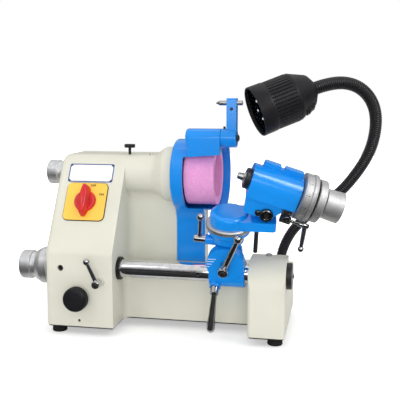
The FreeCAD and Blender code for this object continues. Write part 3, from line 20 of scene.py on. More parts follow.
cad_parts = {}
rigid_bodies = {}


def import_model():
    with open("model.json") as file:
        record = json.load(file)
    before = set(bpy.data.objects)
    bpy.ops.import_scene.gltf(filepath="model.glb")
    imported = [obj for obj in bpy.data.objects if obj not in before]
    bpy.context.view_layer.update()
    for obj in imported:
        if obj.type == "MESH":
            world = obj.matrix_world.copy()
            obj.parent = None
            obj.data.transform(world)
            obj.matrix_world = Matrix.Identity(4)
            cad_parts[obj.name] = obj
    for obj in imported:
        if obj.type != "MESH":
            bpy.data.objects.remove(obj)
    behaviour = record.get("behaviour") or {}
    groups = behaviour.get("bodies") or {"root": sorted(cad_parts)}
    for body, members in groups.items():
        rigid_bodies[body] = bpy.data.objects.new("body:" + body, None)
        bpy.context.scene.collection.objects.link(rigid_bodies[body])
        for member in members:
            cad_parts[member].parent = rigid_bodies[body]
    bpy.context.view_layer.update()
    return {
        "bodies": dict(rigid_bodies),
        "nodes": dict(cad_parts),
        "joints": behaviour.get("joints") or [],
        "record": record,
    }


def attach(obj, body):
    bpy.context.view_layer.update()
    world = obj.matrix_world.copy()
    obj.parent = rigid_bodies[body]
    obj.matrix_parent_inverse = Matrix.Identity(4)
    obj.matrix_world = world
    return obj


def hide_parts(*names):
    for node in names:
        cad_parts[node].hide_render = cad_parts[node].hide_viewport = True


Point = tuple[float, float, float]
Colour = tuple[float, float, float]
Pair = tuple[float, float]
Profile = Sequence[Pair]
Relief = Callable[[float, float, float], float]
Wire = bpy.types.NodeSocket

LOG = logging.getLogger("grinder")
MM = 0.001
X_WAY = Vector((1.0, 0.0, 0.0))
Y_WAY = Vector((0.0, 1.0, 0.0))
Z_WAY = Vector((0.0, 0.0, 1.0))
FULL_TURN = 2.0 * math.pi
# Radius that closes a turned profile on its axis.
AXIS = 0.05
# Angle in degrees above which an edge is sharp.
CREASE = 35.0
# Range that most of a noise's values lie in.
NOISE_RANGE: Pair = (0.3, 0.7)
# Thickness of a printed or engraved line.
LINE_THICK = 0.12
# Font size and boldness of a letter, as shares of its height.
LETTER_SIZE = 1.4
LETTER_WEIGHT = 0.045
# Distance between the stations of a knurl.
KNURL_STEP = 0.55
# Length along the axis, and height, of a knob's knurl diamonds.
KNOB_DIAMOND: Pair = (2.2, 0.4)


class Slot(Enum):
    """Material slots of the record, which each new piece names."""

    STEEL = "steel"
    DARK_STEEL = "dark_steel"
    BLACK_STEEL = "black_steel"
    ALUMINIUM = "aluminium"
    BLACK_PLASTIC = "black_plastic"
    RED_PLASTIC = "red_plastic"
    WHITE_PLATE = "white_plate"


def spot(origin: Point, axis: str = "X", degrees: float = 0.0) -> Matrix:
    """Frame in metres at a place in millimetres, turned about one of its axes."""
    turn = Matrix.Rotation(math.radians(degrees), 4, axis)
    return Matrix.Translation(Vector(origin) * MM) @ turn


def heading(direction: Vector, origin: Point = (0.0, 0.0, 0.0)) -> Matrix:
    """Frame in millimetres at a place, with its X axis along a direction."""
    turn = X_WAY.rotation_difference(direction)
    return Matrix.Translation(Vector(origin)) @ turn.to_matrix().to_4x4()


def along(direction: Vector, origin: Point) -> Matrix:
    """Frame in metres at a place in millimetres, with its X axis along a direction."""
    return Matrix.Translation(Vector(origin) * MM) @ heading(direction.normalized())


# Frames of the solids: the lines that pieces turn about and the faces that carry marks.
LEFT = -196.5
FRONT = -100.0
BACK = 100.0
SPINDLE = along(X_WAY, (0.0, 7.7, 246.0))
MOTOR = along(X_WAY, (0.0, 53.0, 72.0))
BAR = along(X_WAY, (0.0, -65.0, 95.5))
PANEL = spot((LEFT, FRONT, 124.458), "X", 60.0)
BRACKET = spot((LEFT + 299.0, -65.0, 95.5), "X", 20.0)
NECK = BRACKET @ spot((0.0, 0.0, 30.0), "Y", 5.0)
ARM = NECK @ spot((0.0, 5.0, 63.0), "Z", 6.0)
HEAD = ARM @ spot((55.5, 0.0, 28.0), "Y", 16.7)
WORK = HEAD @ spot((0.0, 0.0, 37.6))
SWIVEL = NECK @ along(Z_WAY, (0.0, 5.0, 0.0))
SOCKET = (LEFT + 378.0, -4.0, 82.0)
LAMP_WAY = Vector((0.865, 0.357, 0.352)).normalized()
LAMP_MOUTH = (SOCKET[0] - 33.0, SOCKET[1] - 106.0, SOCKET[2] + 271.0)
LAMP = along(LAMP_WAY, LAMP_MOUTH)
INFEED = along(-Y_WAY, (LEFT + 58.5, FRONT, 53.0))
BAR_LOCK = along(-Y_WAY, (LEFT + 95.0, FRONT, 80.0))
TILT_LOCK = BRACKET @ along(-Y_WAY, (0.0, 0.0, 30.0))
BRACKET_LOCK = BRACKET @ along(Vector((0.0, -0.898, -0.44)), (-18.0, 0.0, 0.0))


class Tree:
    """Node tree of a material or a world, with short ways to add and join nodes."""

    def __init__(self, owner: bpy.types.ID) -> None:
        """Start an empty tree.

        Args:
            owner: Material or world that holds the tree.
        """
        owner.use_nodes = True
        self.nodes = owner.node_tree.nodes
        self.links = owner.node_tree.links
        self.nodes.clear()

    def add(self, kind: str, **inputs: object) -> bpy.types.Node:
        """Add a node and fill its sockets.

        Args:
            kind: Blender's name of the node type, without its first part.
            **inputs: Values or sockets, by socket name with underscores for spaces.

        Returns:
            The new node.
        """
        node = self.nodes.new("ShaderNode" + kind)
        for name, value in inputs.items():
            self.fill(node, name.replace("_", " "), value)
        return node

    def fill(self, node: bpy.types.Node, socket: str | int, value: object) -> None:
        """Set a socket, or join another node's output to it.

        Args:
            node: Node that owns the socket.
            socket: Name or number of the socket.
            value: Plain value or output socket.
        """
        if isinstance(value, bpy.types.NodeSocket):
            self.links.new(value, node.inputs[socket])
        else:
            node.inputs[socket].default_value = value

    def work(self, kind: str, operation: str, *values: object) -> Wire:
        """Work out a value.

        Args:
            kind: Math or VectorMath.
            operation: What it does.
            *values: Values or sockets that go in.

        Returns:
            The result.
        """
        node = self.add(kind)
        node.operation = operation
        for number, value in enumerate(values):
            self.fill(node, number, value)
        return node.outputs["Value"]

    def stretch(self, value: Wire, start: Pair, end: Pair) -> Wire:
        """Bring a value from its start range to an end range, each as (low, high)."""
        node = self.add("MapRange", Value=value, From_Min=start[0], From_Max=start[1],
                        To_Min=end[0], To_Max=end[1])
        return node.outputs["Result"]

    def mix(self, share: Wire, first: Wire, second: Wire) -> Wire:
        """Mix two surfaces.

        Args:
            share: Share of the second.
            first: First surface.
            second: Second surface.

        Returns:
            The mixed surface.
        """
        node = self.add("MixShader", Fac=share)
        self.fill(node, 1, first)
        self.fill(node, 2, second)
        return node.outputs[0]

    def seen(self) -> Wire:
        """1 for the camera's rays, straight or through glass, and 0 for others."""
        path = self.add("LightPath").outputs
        return self.work("Math", "MAXIMUM", path["Is Camera Ray"], path["Is Transmission Ray"])


class Shading(Tree):
    """Node tree of one material, with the patterns that the finishes share."""

    def __init__(self, name: str) -> None:
        """Start a material; place holds the piece's own coordinates, in metres.

        Args:
            name: Name of the material.
        """
        self.material = bpy.data.materials.new(name)
        super().__init__(self.material)
        self.place = self.add("TexCoord").outputs["Object"]

    def noise(self, size: float, detail: float = 3.0, place: Optional[Wire] = None) -> Wire:
        """Factor of a soft noise whose blotches have a size in millimetres."""
        node = self.add("TexNoise", Vector=place or self.place, Scale=1.0 / (size * MM),
                        Detail=detail)
        return node.outputs["Fac"]

    def spread(self, value: Wire, low: float, high: float) -> Wire:
        """Stretch the middle of a noise over the range from low to high."""
        return self.stretch(value, NOISE_RANGE, (low, high))

    def ramp(self, value: Wire, stops: Sequence[tuple[float, Colour]]) -> Wire:
        """Colours along a value.

        Args:
            value: Factor that picks the colour.
            stops: Places from 0 to 1 with their colours.

        Returns:
            The colour.
        """
        node = self.add("ValToRGB", Fac=value)
        marks = node.color_ramp.elements
        while len(marks) < len(stops):
            marks.new(0.5)
        for mark, (position, colour) in zip(marks, stops):
            mark.position = position
            mark.color = (*colour, 1.0)
        return node.outputs["Color"]

    def cloud(self, value: Wire, colour: Colour, low: float, high: float) -> Wire:
        """Colour that drifts with a noise from low to high times itself."""
        tints = (tint(colour, low), tint(colour, high))
        return self.ramp(value, list(zip(NOISE_RANGE, tints)))

    def bump(self, height: Wire, depth: float, strength: float, edge: float = 0.0) -> Wire:
        """Normal with a relief, over edges that are softened where asked.

        Args:
            height: Relief from 0 to 1.
            depth: Depth of the relief, in millimetres.
            strength: How much of it shows.
            edge: Radius of the softened edges, in millimetres.

        Returns:
            The normal.
        """
        node = self.add("Bump", Height=height, Distance=depth * MM, Strength=strength)
        if edge:
            soft = self.add("Bevel", Radius=edge * MM)
            soft.samples = 4
            self.fill(node, "Normal", soft.outputs["Normal"])
        return node.outputs["Normal"]

    def end(self, surface: Wire) -> bpy.types.Material:
        """End the tree in a surface."""
        self.add("OutputMaterial", Surface=surface)
        return self.material

    def close(self, **inputs: object) -> bpy.types.Material:
        """End the tree in a principled surface with these sockets."""
        return self.end(self.add("BsdfPrincipled", **inputs).outputs["BSDF"])


def tint(colour: Colour, share: float) -> Colour:
    """A colour made lighter or darker by a factor, with no channel above 1."""
    return tuple(min(1.0, channel * share) for channel in colour)


@dataclass(frozen=True)
class Finish:
    """Skin of a piece, under a name that its material takes."""

    name: str
    colour: Colour

    def material(self) -> bpy.types.Material:
        """Build the finish's node material."""
        raise NotImplementedError


@dataclass(frozen=True)
class Enamel(Finish):
    """Sprayed and baked paint with a slight orange peel and soft edges."""

    roughness: float = 0.3
    peel: float = 0.05
    gloss: float = 0.3
    edge: float = 0.8
    shine: float = 0.3

    def material(self) -> bpy.types.Material:
        """Build the paint's node material.

        Returns:
            The material.
        """
        shade = Shading(self.name)
        colour = shade.cloud(shade.noise(size=90.0), self.colour, low=0.955, high=1.03)
        rough = shade.spread(shade.noise(size=14.0), self.roughness - 0.05, self.roughness + 0.06)
        normal = shade.bump(shade.noise(size=2.6, detail=2.0), 0.35, self.peel, self.edge)
        return shade.close(Base_Color=colour, Roughness=rough, Normal=normal,
                           Specular_IOR_Level=self.shine, Coat_Weight=self.gloss,
                           Coat_Roughness=0.13)


@dataclass(frozen=True)
class TurnedMetal(Finish):
    """Metal cut on a lathe: fine rings about an axis, with a little stain."""

    roughness: float
    line: Matrix = field(default_factory=Matrix)
    ring: float = 0.35
    relief: float = 0.12
    blotch: float = 0.1
    edge: float = 0.25

    def material(self) -> bpy.types.Material:
        """Build the metal's node material.

        Returns:
            The material.
        """
        shade = Shading(self.name)
        local = shade.add("Mapping", Vector=shade.place)
        local.vector_type = "TEXTURE"
        local.inputs["Location"].default_value = self.line.to_translation()
        local.inputs["Rotation"].default_value = self.line.to_euler("XYZ")
        parts = shade.add("SeparateXYZ", Vector=local.outputs["Vector"]).outputs
        flat = shade.add("CombineXYZ", Y=parts["Y"], Z=parts["Z"]).outputs["Vector"]
        radius = shade.work("VectorMath", "LENGTH", flat)
        rings = shade.add("CombineXYZ", X=parts["X"], Y=radius).outputs["Vector"]
        cuts = shade.noise(self.ring, detail=2.0, place=rings)
        stain = shade.noise(size=11.0, detail=4.0)
        colour = shade.cloud(stain, self.colour, 1.0 - self.blotch, 1.0 + self.blotch)
        rough = shade.spread(cuts, self.roughness * 0.8, self.roughness * 1.25)
        normal = shade.bump(cuts, depth=0.05, strength=self.relief, edge=self.edge)
        return shade.close(Base_Color=colour, Metallic=1.0, Roughness=rough, Normal=normal)


@dataclass(frozen=True)
class Polished(Finish):
    """Plated or blackened metal with a smooth skin and faint marks of handling."""

    roughness: float
    metallic: float = 1.0
    edge: float = 0.4

    def material(self) -> bpy.types.Material:
        """Build the skin's node material.

        Returns:
            The material.
        """
        shade = Shading(self.name)
        smear = shade.noise(size=9.0, detail=5.0)
        colour = shade.cloud(smear, self.colour, low=0.9, high=1.08)
        rough = shade.spread(smear, self.roughness * 0.75, self.roughness * 1.3)
        normal = shade.bump(shade.noise(size=0.8), depth=0.03, strength=0.08, edge=self.edge)
        return shade.close(Base_Color=colour, Metallic=self.metallic, Roughness=rough,
                           Normal=normal)


@dataclass(frozen=True)
class Moulding(Finish):
    """Moulded plastic or rubber with a fine grain."""

    roughness: float
    grain: float = 0.7
    relief: float = 0.12
    edge: float = 0.4
    shine: float = 0.2

    def material(self) -> bpy.types.Material:
        """Build the plastic's node material.

        Returns:
            The material.
        """
        shade = Shading(self.name)
        colour = shade.cloud(shade.noise(size=22.0), self.colour, low=0.88, high=1.12)
        rough = shade.spread(shade.noise(size=5.0), self.roughness - 0.06, self.roughness + 0.06)
        normal = shade.bump(shade.noise(self.grain, detail=2.0), 0.1, self.relief, self.edge)
        return shade.close(Base_Color=colour, Roughness=rough, Normal=normal,
                           Specular_IOR_Level=self.shine)


@dataclass(frozen=True)
class Abrasive(Finish):
    """Bonded grit: crystals in several tints with open pores between them."""

    sparkle: Colour
    grit: float = 0.6

    def material(self) -> bpy.types.Material:
        """Build the grit's node material.

        Returns:
            The material.
        """
        shade = Shading(self.name)
        cells = shade.add("TexVoronoi", Vector=shade.place, Scale=1.0 / (self.grit * MM)).outputs
        pick = shade.add("SeparateColor", Color=cells["Color"]).outputs
        speckle = shade.ramp(pick["Red"], [(0.0, tint(self.colour, 0.8)), (0.45, self.colour),
                                           (0.9, tint(self.colour, 1.1)), (1.0, self.sparkle)])
        shadow = shade.cloud(shade.noise(size=18.0), (1.0, 1.0, 1.0), low=0.93, high=1.0)
        mixed = shade.add("Mix")
        mixed.data_type = "RGBA"
        mixed.blend_type = "MULTIPLY"
        for socket, value in ((0, 1.0), (6, speckle), (7, shadow)):
            shade.fill(mixed, socket, value)
        normal = shade.bump(cells["Distance"], depth=0.25, strength=0.5)
        rough = shade.spread(pick["Green"], low=0.85, high=0.98)
        return shade.close(Base_Color=mixed.outputs[2], Roughness=rough, Normal=normal)


@dataclass(frozen=True)
class ClearGlass(Finish):
    """Lens or bulb glass with a faint ripple."""

    frost: float
    bend: float
    shine: float

    def material(self) -> bpy.types.Material:
        """Build the glass's node material.

        Returns:
            The material.
        """
        shade = Shading(self.name)
        rough = shade.spread(shade.noise(size=6.0), self.frost * 0.7, self.frost * 1.3)
        colour = shade.cloud(shade.noise(size=12.0), self.colour, low=0.96, high=1.0)
        normal = shade.bump(shade.noise(size=4.0), depth=0.1, strength=0.05)
        return shade.close(Base_Color=colour, Roughness=rough, Normal=normal,
                           Transmission_Weight=1.0, IOR=self.bend,
                           Specular_IOR_Level=self.shine)


@dataclass(frozen=True)
class PaintedGlint(Finish):
    """Small dome that glows though it is no lit lamp: a painted glint deep in a dark place."""

    glow: float

    def material(self) -> bpy.types.Material:
        """Build the dome's node material.

        Returns:
            The material.
        """
        shade = Shading(self.name)
        colour = shade.cloud(shade.noise(size=3.0), self.colour, low=0.8, high=1.0)
        # The emission is a painted glint: the dome glows though the lamp is off.
        strength = shade.spread(shade.noise(size=1.5), self.glow * 0.5, self.glow)
        return shade.close(Base_Color=colour, Roughness=0.2, Emission_Color=colour,
                           Emission_Strength=strength)


class Finishes:
    """Every finish of the machine, built once and shared by the pieces."""

    CREAM = Enamel("cream_enamel", (0.685, 0.678, 0.585), 0.42, 0.05, 0.05, 0.8, 0.25)
    BLUE = Enamel("blue_enamel", (0.003, 0.255, 0.79), 0.2, 0.03, 0.45, 0.8, 0.3)
    BLACK_PAINT = Enamel("black_enamel", (0.018, 0.018, 0.019), 0.45, 0.08, 0.1)
    WHITE_PLATE = Enamel("white_plate_lacquer", (0.86, 0.88, 0.93), 0.35, 0.02, 0.1, 0.2)
    YELLOW_PLATE = Enamel("yellow_plate_lacquer", (0.93, 0.56, 0.065), 0.35, 0.02, 0.2, 0.4)
    BORDER_INK = Enamel("blue_border_ink", (0.055, 0.09, 0.26), 0.45, 0.02, 0.0, 0.1)
    BLACK_INK = Enamel("black_ink", (0.02, 0.02, 0.02), 0.55, 0.02, 0.0, 0.1)
    WHITE_INK = Enamel("white_ink", (0.85, 0.87, 0.9), 0.5, 0.02, 0.0, 0.1)
    CHROME = Polished("chrome_plate", (0.80, 0.80, 0.82), 0.07)
    DARK_CHROME = Polished("dark_chrome", (0.52, 0.52, 0.53), 0.1)
    DARK_STEEL = Polished("dark_satin_steel", (0.16, 0.157, 0.153), 0.2)
    BLACK_STEEL = Polished("blackened_steel", (0.03, 0.03, 0.032), 0.36, 0.4)
    REFLECTOR = Moulding("black_reflector", (0.01, 0.01, 0.011), 0.7, 0.7, 0.1, 0.3, 0.1)
    # Painted glints: domes that glow in the lamp's dark mouth.
    LED_PAINTED_GLINT = PaintedGlint("led_dome", (0.85, 0.86, 0.88), 2.2)
    BLACK_PLASTIC = Moulding("black_moulding", (0.011, 0.011, 0.013), 0.4)
    HOSE = Moulding("black_hose", (0.007, 0.007, 0.009), 0.34, 0.5, 0.03, 0.0, 0.42)
    RED_PLASTIC = Moulding("red_moulding", (0.60, 0.014, 0.018), 0.2, 0.9, 0.03, 0.4, 0.5)
    RUBBER = Moulding("black_rubber", (0.013, 0.013, 0.013), 0.75, 0.6, 0.25)
    WHEEL = Abrasive("pink_grit", (0.88, 0.36, 0.70), (0.95, 0.75, 0.88))
    LENS = ClearGlass("lens_glass", (0.42, 0.44, 0.46), 0.03, 1.005, 0.02)
    BULB = ClearGlass("bulb_glass", (0.3, 0.3, 0.3), 0.35, 1.02, 0.1)

    def __init__(self) -> None:
        """Start with nothing built."""
        self.built: dict[str, bpy.types.Material] = {}

    def get(self, finish: Finish) -> bpy.types.Material:
        """Material of a finish, built at its first use.

        Args:
            finish: The finish.

        Returns:
            The material.
        """
        if finish.name not in self.built:
            self.built[finish.name] = finish.material()
        return self.built[finish.name]

    @staticmethod
    def steel(name: str, line: Matrix) -> TurnedMetal:
        """Bright turned steel about a line."""
        return TurnedMetal("steel_" + name, (0.50, 0.50, 0.51), 0.3, line)

    @staticmethod
    def blasted(name: str, line: Matrix) -> TurnedMetal:
        """Pale turned metal with a blasted skin, about a line."""
        return TurnedMetal("blasted_" + name, (0.62, 0.62, 0.625), 0.58, line, 0.6, 0.3, 0.06)

    @staticmethod
    def aluminium(name: str, line: Matrix) -> TurnedMetal:
        """Matt turned aluminium about a line."""
        return TurnedMetal("aluminium_" + name, (0.74, 0.745, 0.755), 0.45, line, 0.5, 0.2)


def linked(name: str, data: bpy.types.ID) -> bpy.types.Object:
    """Put a new object in the scene.

    Args:
        name: Name of the object.
        data: Its mesh, curve, lamp or camera.

    Returns:
        The object.
    """
    made = bpy.data.objects.new(name, data)
    bpy.context.scene.collection.objects.link(made)
    return made


def baked(name: str, curve: bpy.types.Curve) -> bpy.types.Mesh:
    """Turn a curve into a mesh, and remove the curve.

    Args:
        name: Name of the object that holds the curve meanwhile.
        curve: The curve.

    Returns:
        The mesh.
    """
    holder = linked(name, curve)
    bpy.context.view_layer.update()
    final = holder.evaluated_get(bpy.context.evaluated_depsgraph_get())
    mesh = bpy.data.meshes.new_from_object(final)
    bpy.data.objects.remove(holder)
    bpy.data.curves.remove(curve)
    return mesh


class Form:
    """Points and faces of a piece that is being made, in millimetres of its own frame."""

    def __init__(self) -> None:
        """Start with nothing."""
        self.points: list[Vector] = []
        self.faces: list[tuple[int, ...]] = []

    def add(self, points: Sequence[Vector], faces: Sequence[Sequence[int]]) -> None:
        """Add points and the faces between them.

        Args:
            points: New points.
            faces: Faces, counted from the first of the new points.
        """
        start = len(self.points)
        self.points.extend(Vector(point) for point in points)
        self.faces.extend(tuple(start + number for number in face) for face in faces)

    def sheet(self, lines: Sequence[Sequence[Vector]]) -> None:
        """Skin an open sheet over lines of equal length.

        Args:
            lines: Lines of points, one after the other.
        """
        count = len(lines[0])
        corners = [row * count + column for row in range(len(lines) - 1)
                   for column in range(count - 1)]
        self.add([point for line in lines for point in line],
                 [(corner, corner + count, corner + count + 1, corner + 1) for corner in corners])

    def loops(self, rings: Sequence[Sequence[Vector]], closed: bool = False) -> None:
        """Skin over rings of equal length, with the ends filled unless it closes on itself.

        Args:
            rings: Rings of points, one after the other.
            closed: True where the last ring joins the first.
        """
        count = len(rings[0])
        faces: list[tuple[int, ...]] = []
        for row in range(len(rings) if closed else len(rings) - 1):
            this, following = row * count, (row + 1) % len(rings) * count
            for number in range(count):
                after = (number + 1) % count
                faces.append((this + number, this + after, following + after, following + number))
        if not closed:
            faces.append(tuple(reversed(range(count))))
            faces.append(tuple(range((len(rings) - 1) * count, len(rings) * count)))
        self.add([point for ring in rings for point in ring], faces)

    def turn(self, profile: Profile, segments: int = 64, relief: Optional[Relief] = None,
             closed: bool = False, frame: Optional[Matrix] = None) -> None:
        """Turn a profile about the X axis.

        Args:
            profile: Stations as (x, radius).
            segments: How many sides a ring has.
            relief: Gives the height to add at (x, radius, angle).
            closed: True for a ring with a bore, whose profile closes on itself.
            frame: Frame of the axis, where it isn't the form's own.
        """
        rings = []
        for x, radius in profile:
            ring = []
            for number in range(segments):
                angle = FULL_TURN * number / segments
                reach = radius + (relief(x, radius, angle) if relief else 0.0)
                point = Vector((x, reach * math.cos(angle), reach * math.sin(angle)))
                ring.append(frame @ point if frame else point)
            rings.append(ring)
        self.loops(rings, closed)

    def brick(self, frame: Matrix, size: Point) -> None:
        """Add a small block centred on a frame.

        Args:
            frame: Place and turn of the block, in the form's millimetres.
            size: Its length, width and height.
        """
        half = Vector(size) / 2.0
        points = [frame @ Vector((half.x * a, half.y * b, half.z * c))
                  for a in (-1, 1) for b in (-1, 1) for c in (-1, 1)]
        self.add(points, [(0, 1, 3, 2), (4, 6, 7, 5), (0, 4, 5, 1),
                          (2, 3, 7, 6), (0, 2, 6, 4), (1, 5, 7, 3)])

    def piece(self, name: str, frame: Matrix, material: bpy.types.Material,
              crease: float = CREASE) -> bpy.types.Object:
        """Make the object, with smooth faces and sharp edges above an angle.

        Args:
            name: Name of the object.
            frame: Where the form's own frame sits, in metres.
            material: Finish of the piece.
            crease: Angle in degrees above which an edge is sharp.

        Returns:
            The object, linked to the scene.
        """
        mesh = bpy.data.meshes.new(name)
        mesh.from_pydata([frame @ (point * MM) for point in self.points], [], self.faces)
        work = bmesh.new()
        work.from_mesh(mesh)
        bmesh.ops.remove_doubles(work, verts=work.verts, dist=1e-6)
        bmesh.ops.recalc_face_normals(work, faces=work.faces)
        work.to_mesh(mesh)
        work.free()
        mesh.polygons.foreach_set("use_smooth", [True] * len(mesh.polygons))
        mesh.set_sharp_from_angle(angle=math.radians(crease))
        mesh.materials.append(material)
        return linked(name, mesh)


def knurl(low: float, high: float, count: int, diamond: Pair) -> Relief:
    """Diamond knurl on a stretch of a turning.

    Args:
        low: Where the stretch starts along the axis.
        high: Where it ends.
        count: Diamonds round the turning.
        diamond: Length of a diamond along the axis, and its height.

    Returns:
        The relief.
    """
    pitch, depth = diamond

    def height(x: float, radius: float, angle: float) -> float:
        """Work out the knurl at a place.

        Args:
            x: Place along the axis.
            radius: Radius there.
            angle: Angle round the axis.

        Returns:
            Height to add, zero or below.
        """
        if not low <= x <= high or radius < 1.0:
            return 0.0
        around, ahead = count * angle / 2, math.pi * x / pitch
        return depth * (abs(math.cos(around + ahead) * math.cos(around - ahead)) - 1.0)
    return height


def flutes(low: float, high: float, count: int, share: float, depth: float) -> Relief:
    """Straight grooves along a stretch of a turning.

    Args:
        low: Where the stretch starts along the axis.
        high: Where it ends.
        count: Grooves round the turning.
        share: Share of the pitch that a groove takes.
        depth: Depth of a groove.

    Returns:
        The relief.
    """
    def height(x: float, radius: float, angle: float) -> float:
        """Work out the grooves at a place.

        Args:
            x: Place along the axis.
            radius: Radius there.
            angle: Angle round the axis.

        Returns:
            Height to add, zero or below.
        """
        if not low <= x <= high:
            return 0.0
        return -depth if (count * angle / FULL_TURN + 1e-6) % 1.0 < share else 0.0
    return height


def rows(low: float, high: float, radius: float, step: float) -> list[Pair]:
    """Stations of one radius from low to high, about a step apart."""
    count = max(1, round((high - low) / step))
    return [(low + (high - low) * number / count, radius) for number in range(count + 1)]


def rounded(wide: float, tall: float, radius: float, steps: int = 6) -> list[Pair]:
    """Outline of a rectangle with rounded corners.

    Args:
        wide: Width.
        tall: Height.
        radius: Radius of the corners.
        steps: Pieces of each corner.

    Returns:
        Points round the outline.
    """
    points = []
    for quarter, (a, b) in enumerate(((1, 1), (-1, 1), (-1, -1), (1, -1))):
        for step in range(steps + 1):
            angle = math.pi / 2 * (quarter + step / steps)
            points.append((a * (wide / 2 - radius) + radius * math.cos(angle),
                           b * (tall / 2 - radius) + radius * math.sin(angle)))
    return points


def blunt(angle: float, powers: Pair) -> Pair:
    """Point of a unit circle at an angle, squared off by powers below 1."""
    c, s = math.cos(angle), math.sin(angle)
    return math.copysign(abs(c) ** powers[0], c), math.copysign(abs(s) ** powers[1], s)


def level(outline: Profile, height: float) -> list[Vector]:
    """Outline laid at a height."""
    return [Vector((a, b, height)) for a, b in outline]


def socket_head(form: Form, frame: Matrix, radius: float, height: float, key: float) -> None:
    """Add a button head with a hexagon socket, standing on the frame along its X axis.

    Args:
        form: Form that it joins.
        frame: Place of the head, in the form's millimetres.
        radius: Radius of the head.
        height: Height of the head.
        key: Width of the socket across its flats.
    """
    half = key / 2

    def hexagon(x: float, size: float, angle: float) -> float:
        """Bring the socket's ring to a hexagon.

        Args:
            x: Place along the axis.
            size: Radius there.
            angle: Angle round the axis.

        Returns:
            Height to add.
        """
        if size > half + 0.01:
            return 0.0
        return size / math.cos((angle + math.pi / 6) % (math.pi / 3) - math.pi / 6) - size
    form.turn([(-0.4, radius), (height * 0.45, radius), (height * 0.8, radius * 0.86),
               (height, radius * 0.66), (height, half + 0.3), (height - 0.3, half),
               (height * 0.35, half), (height * 0.3, AXIS)], 36, hexagon, frame=frame)


def ball_arm(form: Form, start: Vector, tip: Vector, radii: Pair, ball: float) -> None:
    """Add a lever's tapered arm with a ball on its tip.

    Args:
        form: Form that it joins.
        start: Where the arm starts, in the form's millimetres.
        tip: Centre of the ball.
        radii: Radius of the arm at its start and at the ball.
        ball: Radius of the ball.
    """
    reach = (tip - start).length
    frame = heading(tip - start, start)
    wide, slim = radii
    form.turn([(0.0, AXIS), (0.0, wide * 0.9), (reach * 0.06, wide), (reach * 0.3, wide * 0.97),
               (reach * 0.65, (wide + slim) / 2), (reach - ball * 0.9, slim),
               (reach, slim * 0.8), (reach, AXIS)], 32, frame=frame)
    profile = []
    steps = 12
    for step in range(steps + 1):
        angle = math.pi * step / steps
        profile.append((reach - ball * max(math.cos(angle), -0.95),
                        max(AXIS, ball * math.sin(angle))))
    form.turn(profile, 32, frame=frame)


def ticks(form: Form, radius: float, start: float, way: float, count: int, long_every: int,
          lengths: Pair, width: float) -> None:
    """Add the lines of a scale round the X axis.

    Args:
        form: Form that they join.
        radius: Radius of the surface they lie on.
        start: Where the lines start along the axis.
        way: 1 or -1, the way they run along the axis.
        count: Lines in a full turn.
        long_every: Every how many lines one is long.
        lengths: Length of a short line and of a long one.
        width: Width of a line.
    """
    for number in range(count):
        length = lengths[1] if number % long_every == 0 else lengths[0]
        place = Matrix.Rotation(FULL_TURN * number / count, 4, "X")
        place = place @ Matrix.Translation((start + way * length / 2, radius, 0.0))
        form.brick(place, (length, LINE_THICK, width))


@dataclass(frozen=True)
class KnobHead:
    """Head of a knob along the X axis, with a dished face and a knurled rim.

    dish is the radius where the dish starts and where it ends. front is the length of the
    rim's front edge. Each step of the back edge has its way from the heel and its drop.
    """

    face: float
    heel: float
    radius: float
    dish: Pair
    front: float
    back: Sequence[Pair]
    diamonds: int
    dish_depth: float = 0.6
    sides_per_diamond: int = 4

    def turn(self, form: Form, rest: Profile) -> None:
        """Turn the head and the rest of the knob in one.

        Args:
            form: Form that it joins.
            rest: Stations of the knob behind the head.
        """
        face, r, front, floor = self.face, self.radius, self.front, self.face + self.dish_depth
        low, high = face + front, self.heel - self.back[0][0]
        inner, outer = self.dish
        profile = [(face, AXIS), (face, inner), (floor, inner + 0.6), (floor, outer),
                   (face, outer + 0.8), (face, r - front), (low - 1.4, r - 0.8),
                   (low - 0.4, r - 0.2)]
        profile += rows(low, high, r, KNURL_STEP)
        profile += [(self.heel - way, r - drop) for way, drop in self.back[1:]]
        profile += rest
        form.turn(profile, self.diamonds * self.sides_per_diamond,
                  knurl(low, high, self.diamonds, KNOB_DIAMOND))


def words(name: str, text: str, size: float, frame: Matrix,
          material: bpy.types.Material) -> bpy.types.Object:
    """Plain letters or numbers lying on a frame's XY plane, centred.

    Args:
        name: Name of the object.
        text: What it says.
        size: Height of the letters, in millimetres.
        frame: Where they lie, in metres.
        material: Their ink.

    Returns:
        The letters as a mesh.
    """
    curve = bpy.data.curves.new(name, "FONT")
    curve.body = text
    curve.align_x = "CENTER"
    curve.align_y = "CENTER"
    curve.size = size * LETTER_SIZE * MM
    curve.extrude = LINE_THICK / 2 * MM
    curve.offset = size * LETTER_WEIGHT * MM
    mesh = baked(name + "_outline", curve)
    mesh.transform(frame)
    mesh.materials.clear()
    mesh.materials.append(material)
    return linked(name, mesh)


